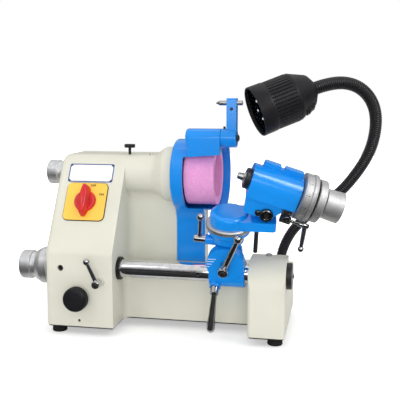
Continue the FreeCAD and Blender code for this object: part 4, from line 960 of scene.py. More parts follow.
@dataclass
class Assembly:
    """A group of the machine's pieces with the finishes of its solids."""

    nodes: dict[str, bpy.types.Object]
    finishes: Finishes

    def paint(self, finish: Finish, *names: str) -> None:
        """Give solids a finish.

        Args:
            finish: The finish.
            *names: Names of the solids.
        """
        material = self.finishes.get(finish)
        for name in names:
            solid = self.nodes[name]
            if not solid.material_slots:
                solid.data.materials.append(material)
            for holder in solid.material_slots:
                holder.material = material
            LOG.info("finish %s on %s", finish.name, name)

    def join(self, made: bpy.types.Object, body: str, slot: Slot, *replaced: str) -> None:
        """Let a new piece ride on a body, and stand for solids where it replaces them.

        Args:
            made: The new piece.
            body: Body that it moves with.
            slot: Slot of the record; not used.
            *replaced: Solids that it stands for.
        """
        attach(made, body)
        if replaced:
            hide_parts(*replaced)
        LOG.info("piece %s on %s", made.name, body)

    def add(self, form: Form, name: str, frame: Matrix, finish: Finish, body: str, slot: Slot,
            *replaced: str, crease: float = CREASE) -> None:
        """Make a piece from a form in a frame in metres, and join it to a body."""
        made = form.piece(name, frame, self.finishes.get(finish), crease)
        self.join(made, body, slot, *replaced)

    def build(self) -> None:
        """Make the group's own pieces."""

    def dress(self) -> None:
        """Give the group's solids their finishes."""


@dataclass
class Casting(Assembly):
    """Cream casting with its feet, covers and cover screws.

    A grub screw has its place from the left, its height, its radius and its key.
    """

    grubs: Sequence[Sequence[float]] = ((27.7, 99.6, 4.9, 4.4), (58.2, 13.0, 2.2, 2.0))
    grub_depth: float = 4.8
    grub_height: float = 2.6
    screw_columns: Point = (LEFT + 25.0, LEFT + 99.5, LEFT + 184.0)
    screw_rows: Pair = (25.0, 177.0)
    screw_radius: float = 3.6
    screw_height: float = 2.0
    screw_key: float = 2.5
    shank_radius: float = 1.6
    shank_length: float = 3.0

    def build(self) -> None:
        """Make the column's grub screws and the socket heads of the rear cover."""
        form = Form()
        for x, z, radius, key in self.grubs:
            frame = heading(-Y_WAY, (LEFT + x, FRONT + self.grub_depth, z))
            socket_head(form, frame, radius, self.grub_height, key)
        self.add(form, "column_grub_screws", Matrix(), Finishes.BLACK_STEEL,
                 "base", Slot.BLACK_STEEL)
        form = Form()
        shank = [(-self.shank_length, self.shank_radius), (0.0, self.shank_radius)]
        for x in self.screw_columns:
            for z in self.screw_rows:
                frame = heading(Y_WAY, (x, BACK, z))
                socket_head(form, frame, self.screw_radius, self.screw_height, self.screw_key)
                form.turn(shank, 12, frame=frame)
        self.add(form, "cover_screw_heads", Matrix(), Finishes.DARK_STEEL,
                 "base", Slot.STEEL, "cover_screws")

    def dress(self) -> None:
        """Paint the casting and the parts on it."""
        self.paint(Finishes.CREAM, "base_casting", "rear_cover")
        # The bottom plate is black so that it reads as the shadow line under the casting: painted
        # shade.
        self.paint(Finishes.BLACK_PAINT, "bottom_plate", "motor_frame")
        self.paint(Finishes.RUBBER, "rubber_feet", "drive_belt")
        self.paint(Finishes.steel("column_screws", BAR), "column_screws")
        self.paint(Finishes.BLACK_STEEL, "bar_end_cap")
        self.paint(Finishes.steel("oil_cup", Matrix()), "oil_cup")


@dataclass
class WheelHead(Assembly):
    """Quill, cup wheel, hood, dresser and the quill's adjusting knob."""

    knob_radius: float = 21.0
    knob_length: float = 19.0
    knob_out: float = 30.0
    knob_dish: Pair = (6.0, 15.0)
    knob_front: float = 2.0
    knob_back: Sequence[Pair] = ((1.4, 0.0), (0.6, 0.5), (0.0, 1.4))
    knob_diamonds: int = 60
    neck_radius: float = 19.0
    stem_radius: float = 6.0
    stem_end: float = -126.5
    lock_place: Point = (LEFT + 115.5, 7.7, 0.0)
    lock_low: float = 270.5
    lock_head: float = 290.0
    lock_radius: float = 2.4
    thread_pitch: float = 1.0
    thread_depth: float = 0.2
    head_wide: float = 18.0
    head_deep: float = 9.0
    head_tall: float = 6.2
    head_sides: int = 96
    head_groove: float = 0.3
    head_powers: Pair = (0.45, 0.45)

    def build(self) -> None:
        """Make the knurled quill knob and the quill's clamp screw."""
        self.quill_knob()
        self.clamp_screw()

    def clamp_screw(self) -> None:
        """Make the clamp screw: a threaded stem under a grooved cross head."""
        form = Form()
        low, head, r = self.lock_low, self.lock_head, self.lock_radius
        stem = [(low, AXIS), (low, r)]
        for number in range(round((head - low) / self.thread_pitch)):
            foot = low + number * self.thread_pitch
            stem += [(foot + 0.3, r + self.thread_depth), (foot + 0.8, r - self.thread_depth)]
        stem += [(head, r), (head + 1.0, r), (head + 1.0, AXIS)]
        form.turn(stem, 24, frame=heading(Z_WAY))
        outline = []
        for number in range(self.head_sides):
            a, b = blunt(FULL_TURN * number / self.head_sides, self.head_powers)
            groove = self.head_groove if number % 4 < 2 else 0.0
            outline.append((a * (self.head_wide / 2 - groove), b * (self.head_deep / 2 - groove)))
        rings = []
        for height, share in ((0.0, 0.9), (0.5, 0.97), (1.0, 1.0), (5.0, 1.0), (5.7, 0.96),
                              (self.head_tall, 0.88)):
            rings.append(level([(a * share, b * share) for a, b in outline], head + height))
        form.loops(rings)
        self.add(form, "quill_lock_screw_grooved", spot(self.lock_place), Finishes.BLACK_STEEL,
                 "quill_lock", Slot.BLACK_STEEL, "quill_lock_screw", crease=30.0)

    def quill_knob(self) -> None:
        """Make the knurled quill knob."""
        head = LEFT - self.knob_out
        heel = head + self.knob_length
        neck, stem = self.neck_radius, self.stem_radius
        rest = [(heel, neck + 0.2), (heel + 0.3, neck), (LEFT - 1.2, neck),
                (LEFT - 0.3, neck - 0.8), (LEFT - 0.3, stem), (self.stem_end, stem),
                (self.stem_end, AXIS)]
        form = Form()
        knob = KnobHead(head, heel, self.knob_radius, self.knob_dish, self.knob_front,
                        self.knob_back, self.knob_diamonds)
        knob.turn(form, rest)
        self.add(form, "quill_knob_knurled", SPINDLE, Finishes.aluminium("quill", SPINDLE),
                 "quill_knob", Slot.ALUMINIUM, "quill_knob")

    def dress(self) -> None:
        """Finish the spindle, the wheel, the hood and the dresser."""
        self.paint(Finishes.steel("spindle", SPINDLE),
                   "quill_sleeve", "spindle_bearings", "spindle_shaft")
        self.paint(Finishes.aluminium("spindle_pulley", SPINDLE), "spindle_pulley")
        self.paint(Finishes.aluminium("motor_pulley", MOTOR), "motor_pulley")
        self.paint(Finishes.steel("motor_shaft", MOTOR), "motor_shaft")
        self.paint(Finishes.DARK_STEEL, "wheel_nut")
        self.paint(Finishes.WHEEL, "grinding_wheel")
        self.paint(Finishes.BLUE, "wheel_hood", "dresser_arm")
        self.paint(Finishes.BLACK_STEEL, "dresser_screws")
        self.paint(Finishes.DARK_CHROME, "dresser_rod")


@dataclass
class FeedControls(Assembly):
    """Guide bar with its feed knob, the infeed knob and the bar's clamp lever."""

    knob_radius: float = 24.0
    knob_length: float = 19.0
    knob_gap: float = 10.0
    knob_dish: Pair = (7.0, 17.0)
    knob_front: float = 2.2
    knob_back: Sequence[Pair] = ((2.2, 0.0), (0.8, 0.6), (0.0, 1.8))
    knob_diamonds: int = 68
    neck_radius: float = 21.0
    collar_length: float = 23.0
    collar_radius: float = 30.5
    screw_radius: float = 8.0
    screw_end: float = LEFT + 50.0
    infeed_radius: float = 20.0
    infeed_teeth: int = 44
    tooth_gap: float = 0.4
    tooth_depth: float = 1.15
    lever_end: float = 24.0
    hole_left: float = 46.5

    def build(self) -> None:
        """Make the feed knob and its scale, the infeed knob, the lever's screw and the black plug
        that paints the shade in the bar's hole.
        """
        self.feed_knob()
        self.feed_scale()
        self.infeed_knob()
        form = Form()
        socket_head(form, Matrix.Translation((self.lever_end, 0.0, 0.0)),
                    radius=4.0, height=1.8, key=2.4)
        self.add(form, "bar_lock_screw", BAR_LOCK, Finishes.BLACK_STEEL,
                 "bar_lock", Slot.BLACK_STEEL)
        # A black plug sunk in the bar's hole paints the shade inside the hole.
        form = Form()
        form.turn([(8.1, AXIS), (8.1, 2.4), (12.4, 2.4), (12.8, 2.1), (12.2, 1.5), (11.4, 0.8),
                   (11.2, AXIS)], 24)
        hole = BRACKET.to_translation() / MM - X_WAY * self.hole_left
        self.add(form, "bar_hole_shade_plug", along(-Y_WAY, hole), Finishes.RUBBER,
                 "bar", Slot.BLACK_STEEL)

    def feed_knob(self) -> None:
        """Make the feed knob with its knurled head, neck and screw."""
        collar = LEFT - self.collar_length
        heel = collar - self.knob_gap
        head = heel - self.knob_length
        neck, screw = self.neck_radius, self.screw_radius
        rest = [(heel, neck + 0.2), (heel + 0.3, neck), (collar, neck), (collar, screw),
                (self.screw_end, screw), (self.screw_end, AXIS)]
        form = Form()
        knob = KnobHead(head, heel, self.knob_radius, self.knob_dish, self.knob_front,
                        self.knob_back, self.knob_diamonds)
        knob.turn(form, rest)
        self.add(form, "feed_knob_knurled", BAR, Finishes.aluminium("feed", BAR),
                 "feed_knob", Slot.ALUMINIUM, "feed_knob")

    def feed_scale(self) -> None:
        """Make the divisions on the feed collar."""
        form = Form()
        ticks(form, self.collar_radius, start=LEFT - 2.2, way=-1.0, count=100, long_every=10,
              lengths=(2.6, 4.4), width=0.3)
        self.add(form, "feed_collar_scale", BAR, Finishes.BLACK_INK,
                 "feed_knob", Slot.BLACK_STEEL)

    def infeed_knob(self) -> None:
        """Make the domed infeed knob with its toothed rim."""
        r, teeth = self.infeed_radius, self.infeed_teeth
        profile = [(-12.0, AXIS), (-12.0, 5.9), (4.0, 5.9), (4.0, r - 3.4), (4.6, r - 2.8),
                   (9.0, r - 0.6), (9.8, r - 0.2)]
        profile += rows(10.2, 19.5, r, 2.4)
        steps = 8
        for step in range(steps + 1):
            angle = math.pi / 2 * step / steps
            profile.append((19.8 + 5.4 * math.sin(angle),
                            AXIS + (r - 0.35) * math.cos(angle) ** 0.45))
        form = Form()
        form.turn(profile, teeth * 6, flutes(9.9, 19.6, teeth, self.tooth_gap, self.tooth_depth))
        self.add(form, "infeed_knob_toothed", INFEED, Finishes.BLACK_PLASTIC,
                 "infeed_knob", Slot.BLACK_PLASTIC, "infeed_knob", crease=28.0)

    def dress(self) -> None:
        """Finish the bar and the metal round it."""
        self.paint(Finishes.CHROME, "guide_bar")
        self.paint(Finishes.BLACK_PLASTIC, "feed_sleeve")
        self.paint(Finishes.aluminium("feed_collar", BAR), "feed_collar")
        self.paint(Finishes.DARK_CHROME, "bar_lock_lever")


@dataclass
class SwitchPanel(Assembly):
    """Yellow switch plate with its red handle, and the bare white plate above it.

    Places on the panel are from its left edge and up its slope.
    """

    switch_x: float = 57.0
    switch_s: float = 90.6
    plate_wide: float = 70.0
    plate_tall: float = 66.0
    plate_thick: float = 2.5
    plate_corner: float = 8.0
    word_size: float = 3.9
    handle_gap: float = 0.3
    disc_radius: float = 18.5
    shaft_radius: float = 5.0
    shaft_end: float = -7.0
    blade_long: float = 54.0
    blade_wide: float = 17.0
    blade_sides: int = 64
    blade_powers: Pair = (0.5, 0.8)
    blade_taper: float = 0.32
    name_x: float = 58.5
    name_s: float = 143.0
    name_wide: float = 79.0
    name_tall: float = 34.0
    name_thick: float = 1.2
    border: float = 2.0
    corner_cut: float = 4.2
    rivet_inset: float = 0.9

    def build(self) -> None:
        """Make the handle, the plate's edging, the words and the white plate's border."""
        self.handle()
        self.edging()
        self.name_border()
        ink = self.finishes.get(Finishes.BLACK_INK)
        for name, text, x, s in (("switch_word_off", "OFF", 9.5, 28.6),
                                 ("switch_word_on", "ON", 26.0, 13.0)):
            place = PANEL @ spot((self.switch_x + x, self.switch_s + s, self.plate_thick))
            made = words(name, text, self.word_size, place, ink)
            self.join(made, "base", Slot.BLACK_PLASTIC)

    def handle(self) -> None:
        """Make the cam-switch handle: a dished disc with a waisted blade across it."""
        low = self.plate_thick + self.handle_gap
        r, shaft, end = self.disc_radius, self.shaft_radius, self.shaft_end
        form = Form()
        form.turn([(end, AXIS), (end, shaft), (low, shaft), (low, r - 0.6), (low + 0.6, r),
                   (low + 3.4, r - 0.3), (low + 4.6, r - 1.0), (low + 5.0, r - 2.2),
                   (low + 4.6, r - 4.5), (low + 4.0, r - 9.0), (low + 3.8, AXIS)],
                  72, frame=heading(Z_WAY))
        outline = []
        for number in range(self.blade_sides):
            a, b = blunt(FULL_TURN * number / self.blade_sides, self.blade_powers)
            taper = 1.0 - self.blade_taper * abs(b) ** 2.2
            outline.append((a * taper * self.blade_wide / 2, b * self.blade_long / 2))
        rings = []
        for height, long_share, wide_share in (
                (1.0, 1.0, 1.1), (7.0, 0.985, 1.0), (12.0, 0.965, 0.86), (15.2, 0.945, 0.72),
                (16.4, 0.925, 0.6), (17.0, 0.89, 0.44)):
            rings.append(level([(a * wide_share, b * long_share) for a, b in outline],
                               low + height))
        form.loops(rings)
        place = PANEL @ spot((self.switch_x, self.switch_s, 0.0))
        self.add(form, "switch_handle_moulded", place, Finishes.RED_PLASTIC,
                 "switch", Slot.RED_PLASTIC, "switch_handle", crease=40.0)

    def edging(self) -> None:
        """Make the dark gasket that shows round the switch plate."""
        rings = []
        for grow, height in ((0.0, 0.0), (1.0, 0.0), (1.0, 1.2), (0.7, 1.5), (0.05, 1.5)):
            outline = rounded(self.plate_wide + 2 * grow, self.plate_tall + 2 * grow,
                              self.plate_corner + grow)
            rings.append(level(outline, height))
        form = Form()
        form.loops(rings, True)
        place = PANEL @ spot((self.switch_x, self.switch_s, 0.0))
        self.add(form, "switch_plate_gasket", place, Finishes.BLACK_PLASTIC,
                 "base", Slot.BLACK_PLASTIC)

    def name_border(self) -> None:
        """Make the border with cut corners and the four rivets of the white plate."""
        top, cut = self.name_thick, self.corner_cut
        outer = rounded(self.name_wide - 0.3, self.name_tall - 0.3, radius=2.8, steps=2)
        wide = self.name_wide / 2 - self.border
        tall = self.name_tall / 2 - self.border
        inner = []
        for a, b in ((1, 1), (-1, 1), (-1, -1), (1, -1)):
            corner = [(a * wide, b * (tall - cut)), (a * (wide - cut / 2), b * (tall - cut / 2)),
                      (a * (wide - cut), b * tall)]
            inner += corner if a == b else corner[::-1]
        under, over = top - 0.05, top + 0.08
        form = Form()
        form.loops([level(inner, under), level(outer, under), level(outer, over),
                    level(inner, over)], True)
        place = PANEL @ spot((self.name_x, self.name_s, 0.0))
        self.add(form, "name_plate_border", place, Finishes.BORDER_INK, "base", Slot.WHITE_PLATE)
        form = Form()
        for a in (-1, 1):
            for b in (-1, 1):
                frame = heading(Z_WAY, (a * (wide - self.rivet_inset),
                                        b * (tall - self.rivet_inset), top))
                form.turn([(-0.3, 1.25), (0.2, 1.25), (0.6, 1.0), (0.8, 0.55), (0.84, AXIS)],
                          20, frame=frame)
        self.add(form, "name_plate_rivets", place, Finishes.DARK_STEEL, "base", Slot.STEEL)

    def dress(self) -> None:
        """Finish the plates and the switch behind them."""
        self.paint(Finishes.YELLOW_PLATE, "switch_plate")
        self.paint(Finishes.BLACK_PLASTIC, "switch_body")
        self.paint(Finishes.WHITE_PLATE, "name_plate")


@dataclass
class WorkSupport(Assembly):
    """Bracket, neck and swivelling arm with their levers and scales.

    A tilt line has its height over the pivot and its length.
    """

    ring_radius: float = 36.0
    ring_top: float = 61.0
    disc_face: float = -24.0
    disc_rise: float = 30.0
    disc_radius: float = 29.5
    tilt_lines: Sequence[Pair] = ((10.9, 13.0), (6.5, 11.0), (1.8, 8.0), (-3.0, 4.0))
    line_inset: float = 0.8
    line_width: float = 0.9
    hub_radius: float = 8.0
    hub_start: float = 24.3
    hub_end: float = 48.0
    bracket_hub_end: float = 39.0
    stem_radius: float = 5.0
    stem_end: float = -22.0
    lever_tip: Point = (27.0, -50.0, 94.0)
    lever_radii: Pair = (5.0, 3.7)
    lever_ball: float = 6.5

    def tilt_lever(self) -> None:
        """Make the tilt lever with its stem, hub, tapered arm and ball."""
        form = Form()
        r, low, high = self.hub_radius, self.hub_start, self.hub_end
        stem, end = self.stem_radius, self.stem_end
        form.turn([(end, AXIS), (end, stem - 0.5), (end + 0.5, stem), (low, stem), (low, r - 0.8),
                   (low + 0.8, r), (high - 2.6, r), (high - 0.8, r - 0.7), (high, r - 2.0),
                   (high, AXIS)], 48)
        tip = TILT_LOCK.inverted() @ BRACKET @ (Vector(self.lever_tip) * MM) / MM
        start = Vector(((low + high) / 2, 0.0, 0.0))
        ball_arm(form, start, tip, self.lever_radii, self.lever_ball)
        self.add(form, "tilt_lock_lever_forged", TILT_LOCK, Finishes.DARK_CHROME,
                 "tilt_lock", Slot.STEEL, "tilt_lock_lever")

    def build(self) -> None:
        """Make the tilt lever, the swivel scale, the tilt lines and the levers' screws."""
        self.tilt_lever()
        form = Form()
        ticks(form, self.ring_radius, start=self.ring_top - 0.2, way=-1.0, count=180, long_every=5,
              lengths=(1.7, 3.0), width=0.32)
        self.add(form, "swivel_scale", SWIVEL, Finishes.BLACK_INK, "neck", Slot.BLACK_STEEL)
        form = Form()
        for rise, length in self.tilt_lines:
            edge = self.line_inset - math.sqrt(self.disc_radius ** 2 - rise ** 2)
            place = (edge + length / 2, self.disc_face, self.disc_rise + rise)
            form.brick(Matrix.Translation(place), (length, LINE_THICK, self.line_width))
        self.add(form, "tilt_lines", BRACKET, Finishes.WHITE_INK, "bracket", Slot.WHITE_PLATE)
        for name, body, frame, end, radius in (
                ("tilt_lock_screw", "tilt_lock", TILT_LOCK, self.hub_end, 4.6),
                ("bracket_lock_screw", "bracket_lock", BRACKET_LOCK, self.bracket_hub_end, 4.2)):
            form = Form()
            socket_head(form, Matrix.Translation((end, 0.0, 0.0)), radius, height=2.0, key=2.6)
            self.add(form, name, frame, Finishes.BLACK_STEEL, body, Slot.BLACK_STEEL)

    def dress(self) -> None:
        """Finish the support's solids."""
        self.paint(Finishes.BLUE, "bracket", "neck", "swivel_arm")
        self.paint(Finishes.DARK_CHROME, "bracket_lock_lever", "swivel_lock_lever")
        self.paint(Finishes.blasted("scale_ring", SWIVEL), "scale_ring")
        self.paint(Finishes.BLACK_STEEL, "stop_rod")


@dataclass
class WorkHead(Assembly):
    """Tilting head with its spindle, index ring, clamp ring and drawbar cup.

    A black band of painted shade in a groove between the rings has its start, its end and its two
    radii.
    """

    ring_start: float = 38.5
    ring_step: float = 50.0
    ring_end: float = 58.0
    scale_radius: float = 36.0
    flange_radius: float = 37.0
    bore: float = 14.02
    number_count: int = 12
    number_size: float = 2.2
    number_shift: float = 8.0
    groove_bands: Sequence[Sequence[float]] = ((58.1, 61.4, 24.1, 31.5), (74.1, 77.0, 14.1, 21.5))
    knuckle_face: float = 21.0
    bolt_radius: float = 10.0
    bolt_height: float = 6.0
    clamp_place: Point = (-13.0, 0.0, -1.0)
    plunger_place: Point = (28.0, -25.0, 10.0)
    block_screws: Sequence[Point] = ((24.1, -26.6, 4.2), (31.1, -26.6, 13.8))
    lever_knee: Point = (61.0, -21.0, 2.0)
    lever_tip: Point = (67.0, -33.0, -32.0)
    lever_radii: Pair = (4.0, 3.1)
    lever_ball: float = 4.8
    tail_way: Point = (-1.4, 2.0, 4.0)

    def build(self) -> None:
        """Make the index lever and ring, the black bands of painted shade in the grooves and the
        heads of the bolts.
        """
        self.lever()
        self.index_ring()
        self.grooves()
        self.bolt_heads()

    def lever(self) -> None:
        """Make the index lever: a bar with a collar, a tapered grip and a ball."""
        form = Form()
        knee = Vector(self.lever_knee)
        form.turn([(27.0, AXIS), (27.0, 2.5), (50.5, 2.5), (51.0, 3.5), (51.6, 3.9), (66.0, 3.9),
                   (66.8, 3.4), (67.0, AXIS)], 32,
                  frame=Matrix.Translation((0.0, knee.y, knee.z)))
        ball_arm(form, knee, Vector(self.lever_tip), self.lever_radii, self.lever_ball)
        form.turn([(0.0, 2.6), (4.0, 2.6), (4.7, 2.0), (4.7, AXIS)], 24,
                  frame=heading(Vector(self.tail_way), knee))
        self.add(form, "index_lever_forged", HEAD, Finishes.DARK_CHROME,
                 "index_lever", Slot.STEEL, "index_lever")

    def grooves(self) -> None:
        """Make the black bands that fill the grooves between the rings, painted shade."""
        form = Form()
        for low, high, inner, outer in self.groove_bands:
            form.turn([(low, inner), (low, outer), ((low + high) / 2, outer + 0.3), (high, outer),
                       (high, inner)], 72, closed=True)
        # Black rubber rings paint the shade that falls in the grooves.
        self.add(form, "ring_groove_painted_shade", WORK, Finishes.RUBBER, "work_spindle", Slot.BLACK_STEEL)

    def bolt_heads(self) -> None:
        """Make the knurled rims and sockets on the bolts, the clamp screw and the plunger."""
        form = Form()
        face, r = self.knuckle_face, self.bolt_radius
        top = face + self.bolt_height
        front = heading(-Y_WAY)
        rim = [(face + 0.4, r - 0.6)] + rows(face + 0.8, top - 1.2, r + 0.35, 0.6)
        rim += [(top - 0.4, r - 0.4), (top + 0.5, r - 1.2), (top + 0.5, r - 4.2),
                (top - 0.4, r - 5.0)]
        diamonds = knurl(face + 0.7, top - 1.1, count=36, diamond=(1.8, 0.45))
        form.turn(rim, 144, diamonds, True, front)
        socket_head(form, front @ Matrix.Translation((top - 0.6, 0.0, 0.0)), r - 4.4,
                    height=1.0, key=6.0)
        clamp = heading(-Y_WAY, self.clamp_place) @ Matrix.Translation((face + 3.6, 0.0, 0.0))
        socket_head(form, clamp, radius=4.2, height=1.4, key=3.0)
        grip = [(6.2, 4.0)] + rows(6.6, 11.2, 5.3, 0.6)
        grip += [(12.0, 4.6), (12.4, 3.6), (12.4, 1.6), (11.6, 1.0)]
        diamonds = knurl(6.5, 11.3, count=24, diamond=(1.5, 0.4))
        form.turn(grip, 96, diamonds, True, heading(-Y_WAY, self.plunger_place))
        for place in self.block_screws:
            socket_head(form, heading(-Y_WAY, place), radius=2.4, height=1.6, key=1.6)
        self.add(form, "head_bolt_sockets", HEAD, Finishes.DARK_STEEL, "head", Slot.DARK_STEEL)

    def index_ring(self) -> None:
        """Make the stepped index ring, its scale and its numbers."""
        a, b, c = self.ring_start, self.ring_step, self.ring_end
        r, f = self.scale_radius, self.flange_radius
        form = Form()
        form.turn([(a, self.bore), (a, r - 1.6), (a + 0.5, r - 0.4), (a + 1.2, r), (b - 0.5, r),
                   (b, r - 0.9), (b + 0.7, r - 0.9), (b + 1.0, f - 0.5), (b + 1.7, f),
                   (c - 1.5, f), (c - 0.4, f - 0.5), (c, f - 1.6), (c, self.bore)],
                  128, closed=True)
        self.add(form, "index_ring_stepped", WORK, Finishes.blasted("index_ring", WORK),
                 "work_spindle", Slot.STEEL, "index_ring", crease=25.0)
        form = Form()
        ticks(form, r, start=a + 1.4, way=1.0, count=72, long_every=6,
              lengths=(2.4, 4.2), width=0.4)
        self.add(form, "index_scale", WORK, Finishes.BLACK_INK, "work_spindle", Slot.BLACK_STEEL)
        ink = self.finishes.get(Finishes.BLACK_INK)
        upright = Matrix.Rotation(math.pi / 2, 4, "Z")
        for number in range(self.number_count):
            place = WORK @ Matrix.Rotation(FULL_TURN * number / self.number_count, 4, "X")
            place = place @ spot((a + self.number_shift, 0.0, r)) @ upright
            name, text = "index_number_%02d" % number, str(number * 2)
            made = words(name, text, self.number_size, place, ink)
            self.join(made, "work_spindle", Slot.BLACK_STEEL)

    def dress(self) -> None:
        """Finish the head's solids."""
        self.paint(Finishes.BLUE, "work_head")
        self.paint(Finishes.BLACK_STEEL, "head_bolts", "index_pin_block", "work_spindle")
        self.paint(Finishes.steel("collet", WORK), "collet")
        self.paint(Finishes.blasted("work_rings", WORK), "clamp_ring", "drawbar_cup")


@dataclass
class Lamp(Assembly):
    """Lamp on its ribbed hose.

    A stop of the hose's line is its way right, forward and up from the socket. A step of a
    rib is its place in the pitch and its share of the rib's depth.
    """

    foot_radius: float = 8.0
    foot_rise: float = 19.0
    end_radius: float = 10.0
    plug_radius: float = 6.9
    stops: Sequence[Point] = (
        (12, 1, 69), (36, 2, 97), (66, 3, 120), (95, 5, 142), (118, 7, 172), (137, 8, 203),
        (146, 14, 239), (145, 23, 276), (126, 36, 306), (91, 52, 319))
    rib_pitch: float = 3.1
    rib_depth: float = 0.7
    rib_steps: Sequence[Pair] = ((0.0, 1.0), (0.22, 0.35), (0.4, 0.0), (0.66, 0.0), (0.84, 0.35))
    hose_sides: int = 28
    shell_radius: float = 38.0
    shell_length: float = 98.0
    shell_ring: float = 64.0
    shell_knee: float = 90.0
    knee_radius: float = 24.0
    shell_wall: float = 2.5
    shell_grooves: int = 42
    groove_share: float = 0.24
    groove_depth: float = 1.4
    rocker_angle: float = 150.0
    rocker_corner: float = 1.6
    dome_count: int = 5
    dome_depth: float = 9.6
    dome_ring: float = 14.5

    def build(self) -> None:
        """Make the ribbed hose, the grooved shell and the small domes round the bulb, which glow
        as painted glints.
        """
        self.hose()
        self.shell()
        self.domes()

    def domes(self) -> None:
        """Make the domes that glow in the lamp's mouth as painted glints, each on a black barrel
        that paints the shade deep in the mouth.
        """
        bright = Form()
        barrels = Form()
        for number in range(self.dome_count):
            turn = Matrix.Rotation(FULL_TURN * number / self.dome_count, 4, "X")
            place = turn @ heading(-X_WAY, (self.dome_depth, self.dome_ring, 0.0))
            bright.turn([(-1.0, 2.0), (0.0, 2.0), (0.9, 1.6), (1.5, 0.9), (1.7, AXIS)], 16,
                        frame=place)
            barrels.turn([(-20.0, 1.6), (-19.0, 2.2), (-2.0, 4.0), (0.6, 4.3), (0.9, 4.0),
                          (-0.4, 2.1), (-1.0, AXIS)], 24, frame=place)
        # The domes glow as painted glints; the black barrels paint the shade deep in the mouth.
        self.add(bright, "lamp_led_painted_glints", LAMP, Finishes.LED_PAINTED_GLINT, "lamp", Slot.WHITE_PLATE)
        self.add(barrels, "lamp_led_barrels_painted_shade", LAMP, Finishes.BLACK_PLASTIC,
                 "lamp", Slot.BLACK_PLASTIC)

    def hose_points(self) -> list[Vector]:
        """Points along the hose's smooth line, in metres.

        Returns:
            Points from the socket to the lamp.
        """
        socket = Vector(SOCKET)
        foot = socket + Z_WAY * self.foot_rise
        tail = Vector(LAMP_MOUTH) + LAMP_WAY * self.shell_length
        route = [foot, foot + Z_WAY * 8.0, foot + Z_WAY * 16.0]
        route += [socket + Vector((right, -forward, up)) for right, forward, up in self.stops]
        route += [tail + LAMP_WAY * 9.0, tail]
        curve = bpy.data.curves.new("hose_line", "CURVE")
        curve.dimensions = "3D"
        curve.resolution_u = 60
        line = curve.splines.new("NURBS")
        line.points.add(len(route) - 1)
        for point, place in zip(line.points, route):
            point.co = (*(place * MM), 1.0)
        line.order_u = 4
        line.use_endpoint_u = True
        mesh = baked("hose_line", curve)
        points = [vertex.co.copy() for vertex in mesh.vertices]
        bpy.data.meshes.remove(mesh)
        return points

    def hose(self) -> None:
        """Make the hose: fine ribs along the line, widening from foot to lamp."""
        points = self.hose_points()
        reach = [0.0]
        for before, after in zip(points, points[1:]):
            reach.append(reach[-1] + (after - before).length)
        total = reach[-1]
        count = round(total / (self.rib_pitch * MM))
        stations = [((number + part) / count, drop) for number in range(count)
                    for part, drop in self.rib_steps]
        stations.append((1.0, 1.0))
        rings = []
        side = Y_WAY.copy()
        row = 0
        for share, drop in stations:
            want = share * total
            while row < len(points) - 2 and reach[row + 1] < want:
                row += 1
            step = (want - reach[row]) / (reach[row + 1] - reach[row])
            centre = points[row].lerp(points[row + 1], step) / MM
            ahead = (points[row + 1] - points[row]).normalized()
            side = (side - ahead * side.dot(ahead)).normalized()
            up = ahead.cross(side)
            radius = self.foot_radius + (self.end_radius - self.foot_radius) * share
            radius -= self.rib_depth * drop
            ring = []
            for number in range(self.hose_sides):
                angle = FULL_TURN * number / self.hose_sides
                ring.append(centre + (side * math.cos(angle) + up * math.sin(angle)) * radius)
            rings.append(ring)
        form = Form()
        form.loops(rings)
        form.turn([(-13.0, self.plug_radius), (0.5, self.plug_radius)], self.hose_sides,
                  frame=heading(Z_WAY, Vector(SOCKET) + Z_WAY * self.foot_rise))
        self.add(form, "lamp_hose", Matrix(), Finishes.HOSE,
                 "lamp", Slot.BLACK_PLASTIC, "gooseneck", crease=60.0)

    def shell(self) -> None:
        """Make the lamp's shell with its grooves, ring, taper and rocker frame."""
        r, ring, wall, end = self.shell_radius, self.shell_ring, self.shell_wall, self.shell_length
        knee, slim = self.shell_knee, self.knee_radius
        profile = [(4.0, r - wall - 0.2), (0.4, r - wall), (0.0, r - wall + 0.5), (0.0, r - 0.8),
                   (0.3, r - 0.2), (1.0, r), (20.0, r - 0.45), (21.6, r - 0.5), (22.4, r - 0.9)]
        profile += rows(22.8, ring - 5.2, r - 1.1, 3.0)
        profile += [(ring - 4.8, r - 2.0), (ring - 4.2, r - 2.0), (ring - 3.8, r - 1.7),
                    (ring - 0.6, r - 1.7), (ring + 0.4, r - 2.3), (knee - 2.4, slim + 1.3),
                    (knee - 0.6, slim + 0.1), (knee + 0.8, slim - 1.6), (end - 1.0, 12.8),
                    (end, 11.5), (end, 5.0), (knee - 1.0, 5.0), (knee - 3.0, slim - 4.0),
                    (ring - 2.0, r - 4.0 - wall)]
        form = Form()
        cuts = flutes(22.7, ring - 5.1, self.shell_grooves, self.groove_share, self.groove_depth)
        form.turn(profile, self.shell_grooves * 8, cuts, True)
        slope = math.atan2(r - 2.0 - slim, knee - ring)
        place = Matrix.Rotation(math.radians(self.rocker_angle), 4, "X")
        place = place @ Matrix.Translation(((ring + knee) / 2, 0.0, (r - 2.0 + slim) / 2))
        place = place @ Matrix.Rotation(slope, 4, "Y")
        rings = []
        for wide, tall, height in ((13.2, 8.2, -5.0), (18.0, 13.0, -5.0), (18.0, 13.0, 1.0),
                                   (17.2, 12.2, 1.6), (13.2, 8.2, 1.6)):
            outline = rounded(wide, tall, self.rocker_corner, steps=3)
            rings.append([place @ point for point in level(outline, height)])
        form.loops(rings, True)
        self.add(form, "lamp_shell_grooved", LAMP, Finishes.BLACK_PLASTIC,
                 "lamp", Slot.BLACK_PLASTIC, "lamp_shell", crease=30.0)

    def dress(self) -> None:
        """Finish the lamp's solids."""
        self.paint(Finishes.BLACK_PLASTIC, "lamp_socket", "lamp_rocker")
        self.paint(Finishes.REFLECTOR, "lamp_reflector")
        self.paint(Finishes.BULB, "lamp_bulb")
        self.paint(Finishes.LENS, "lamp_lens")


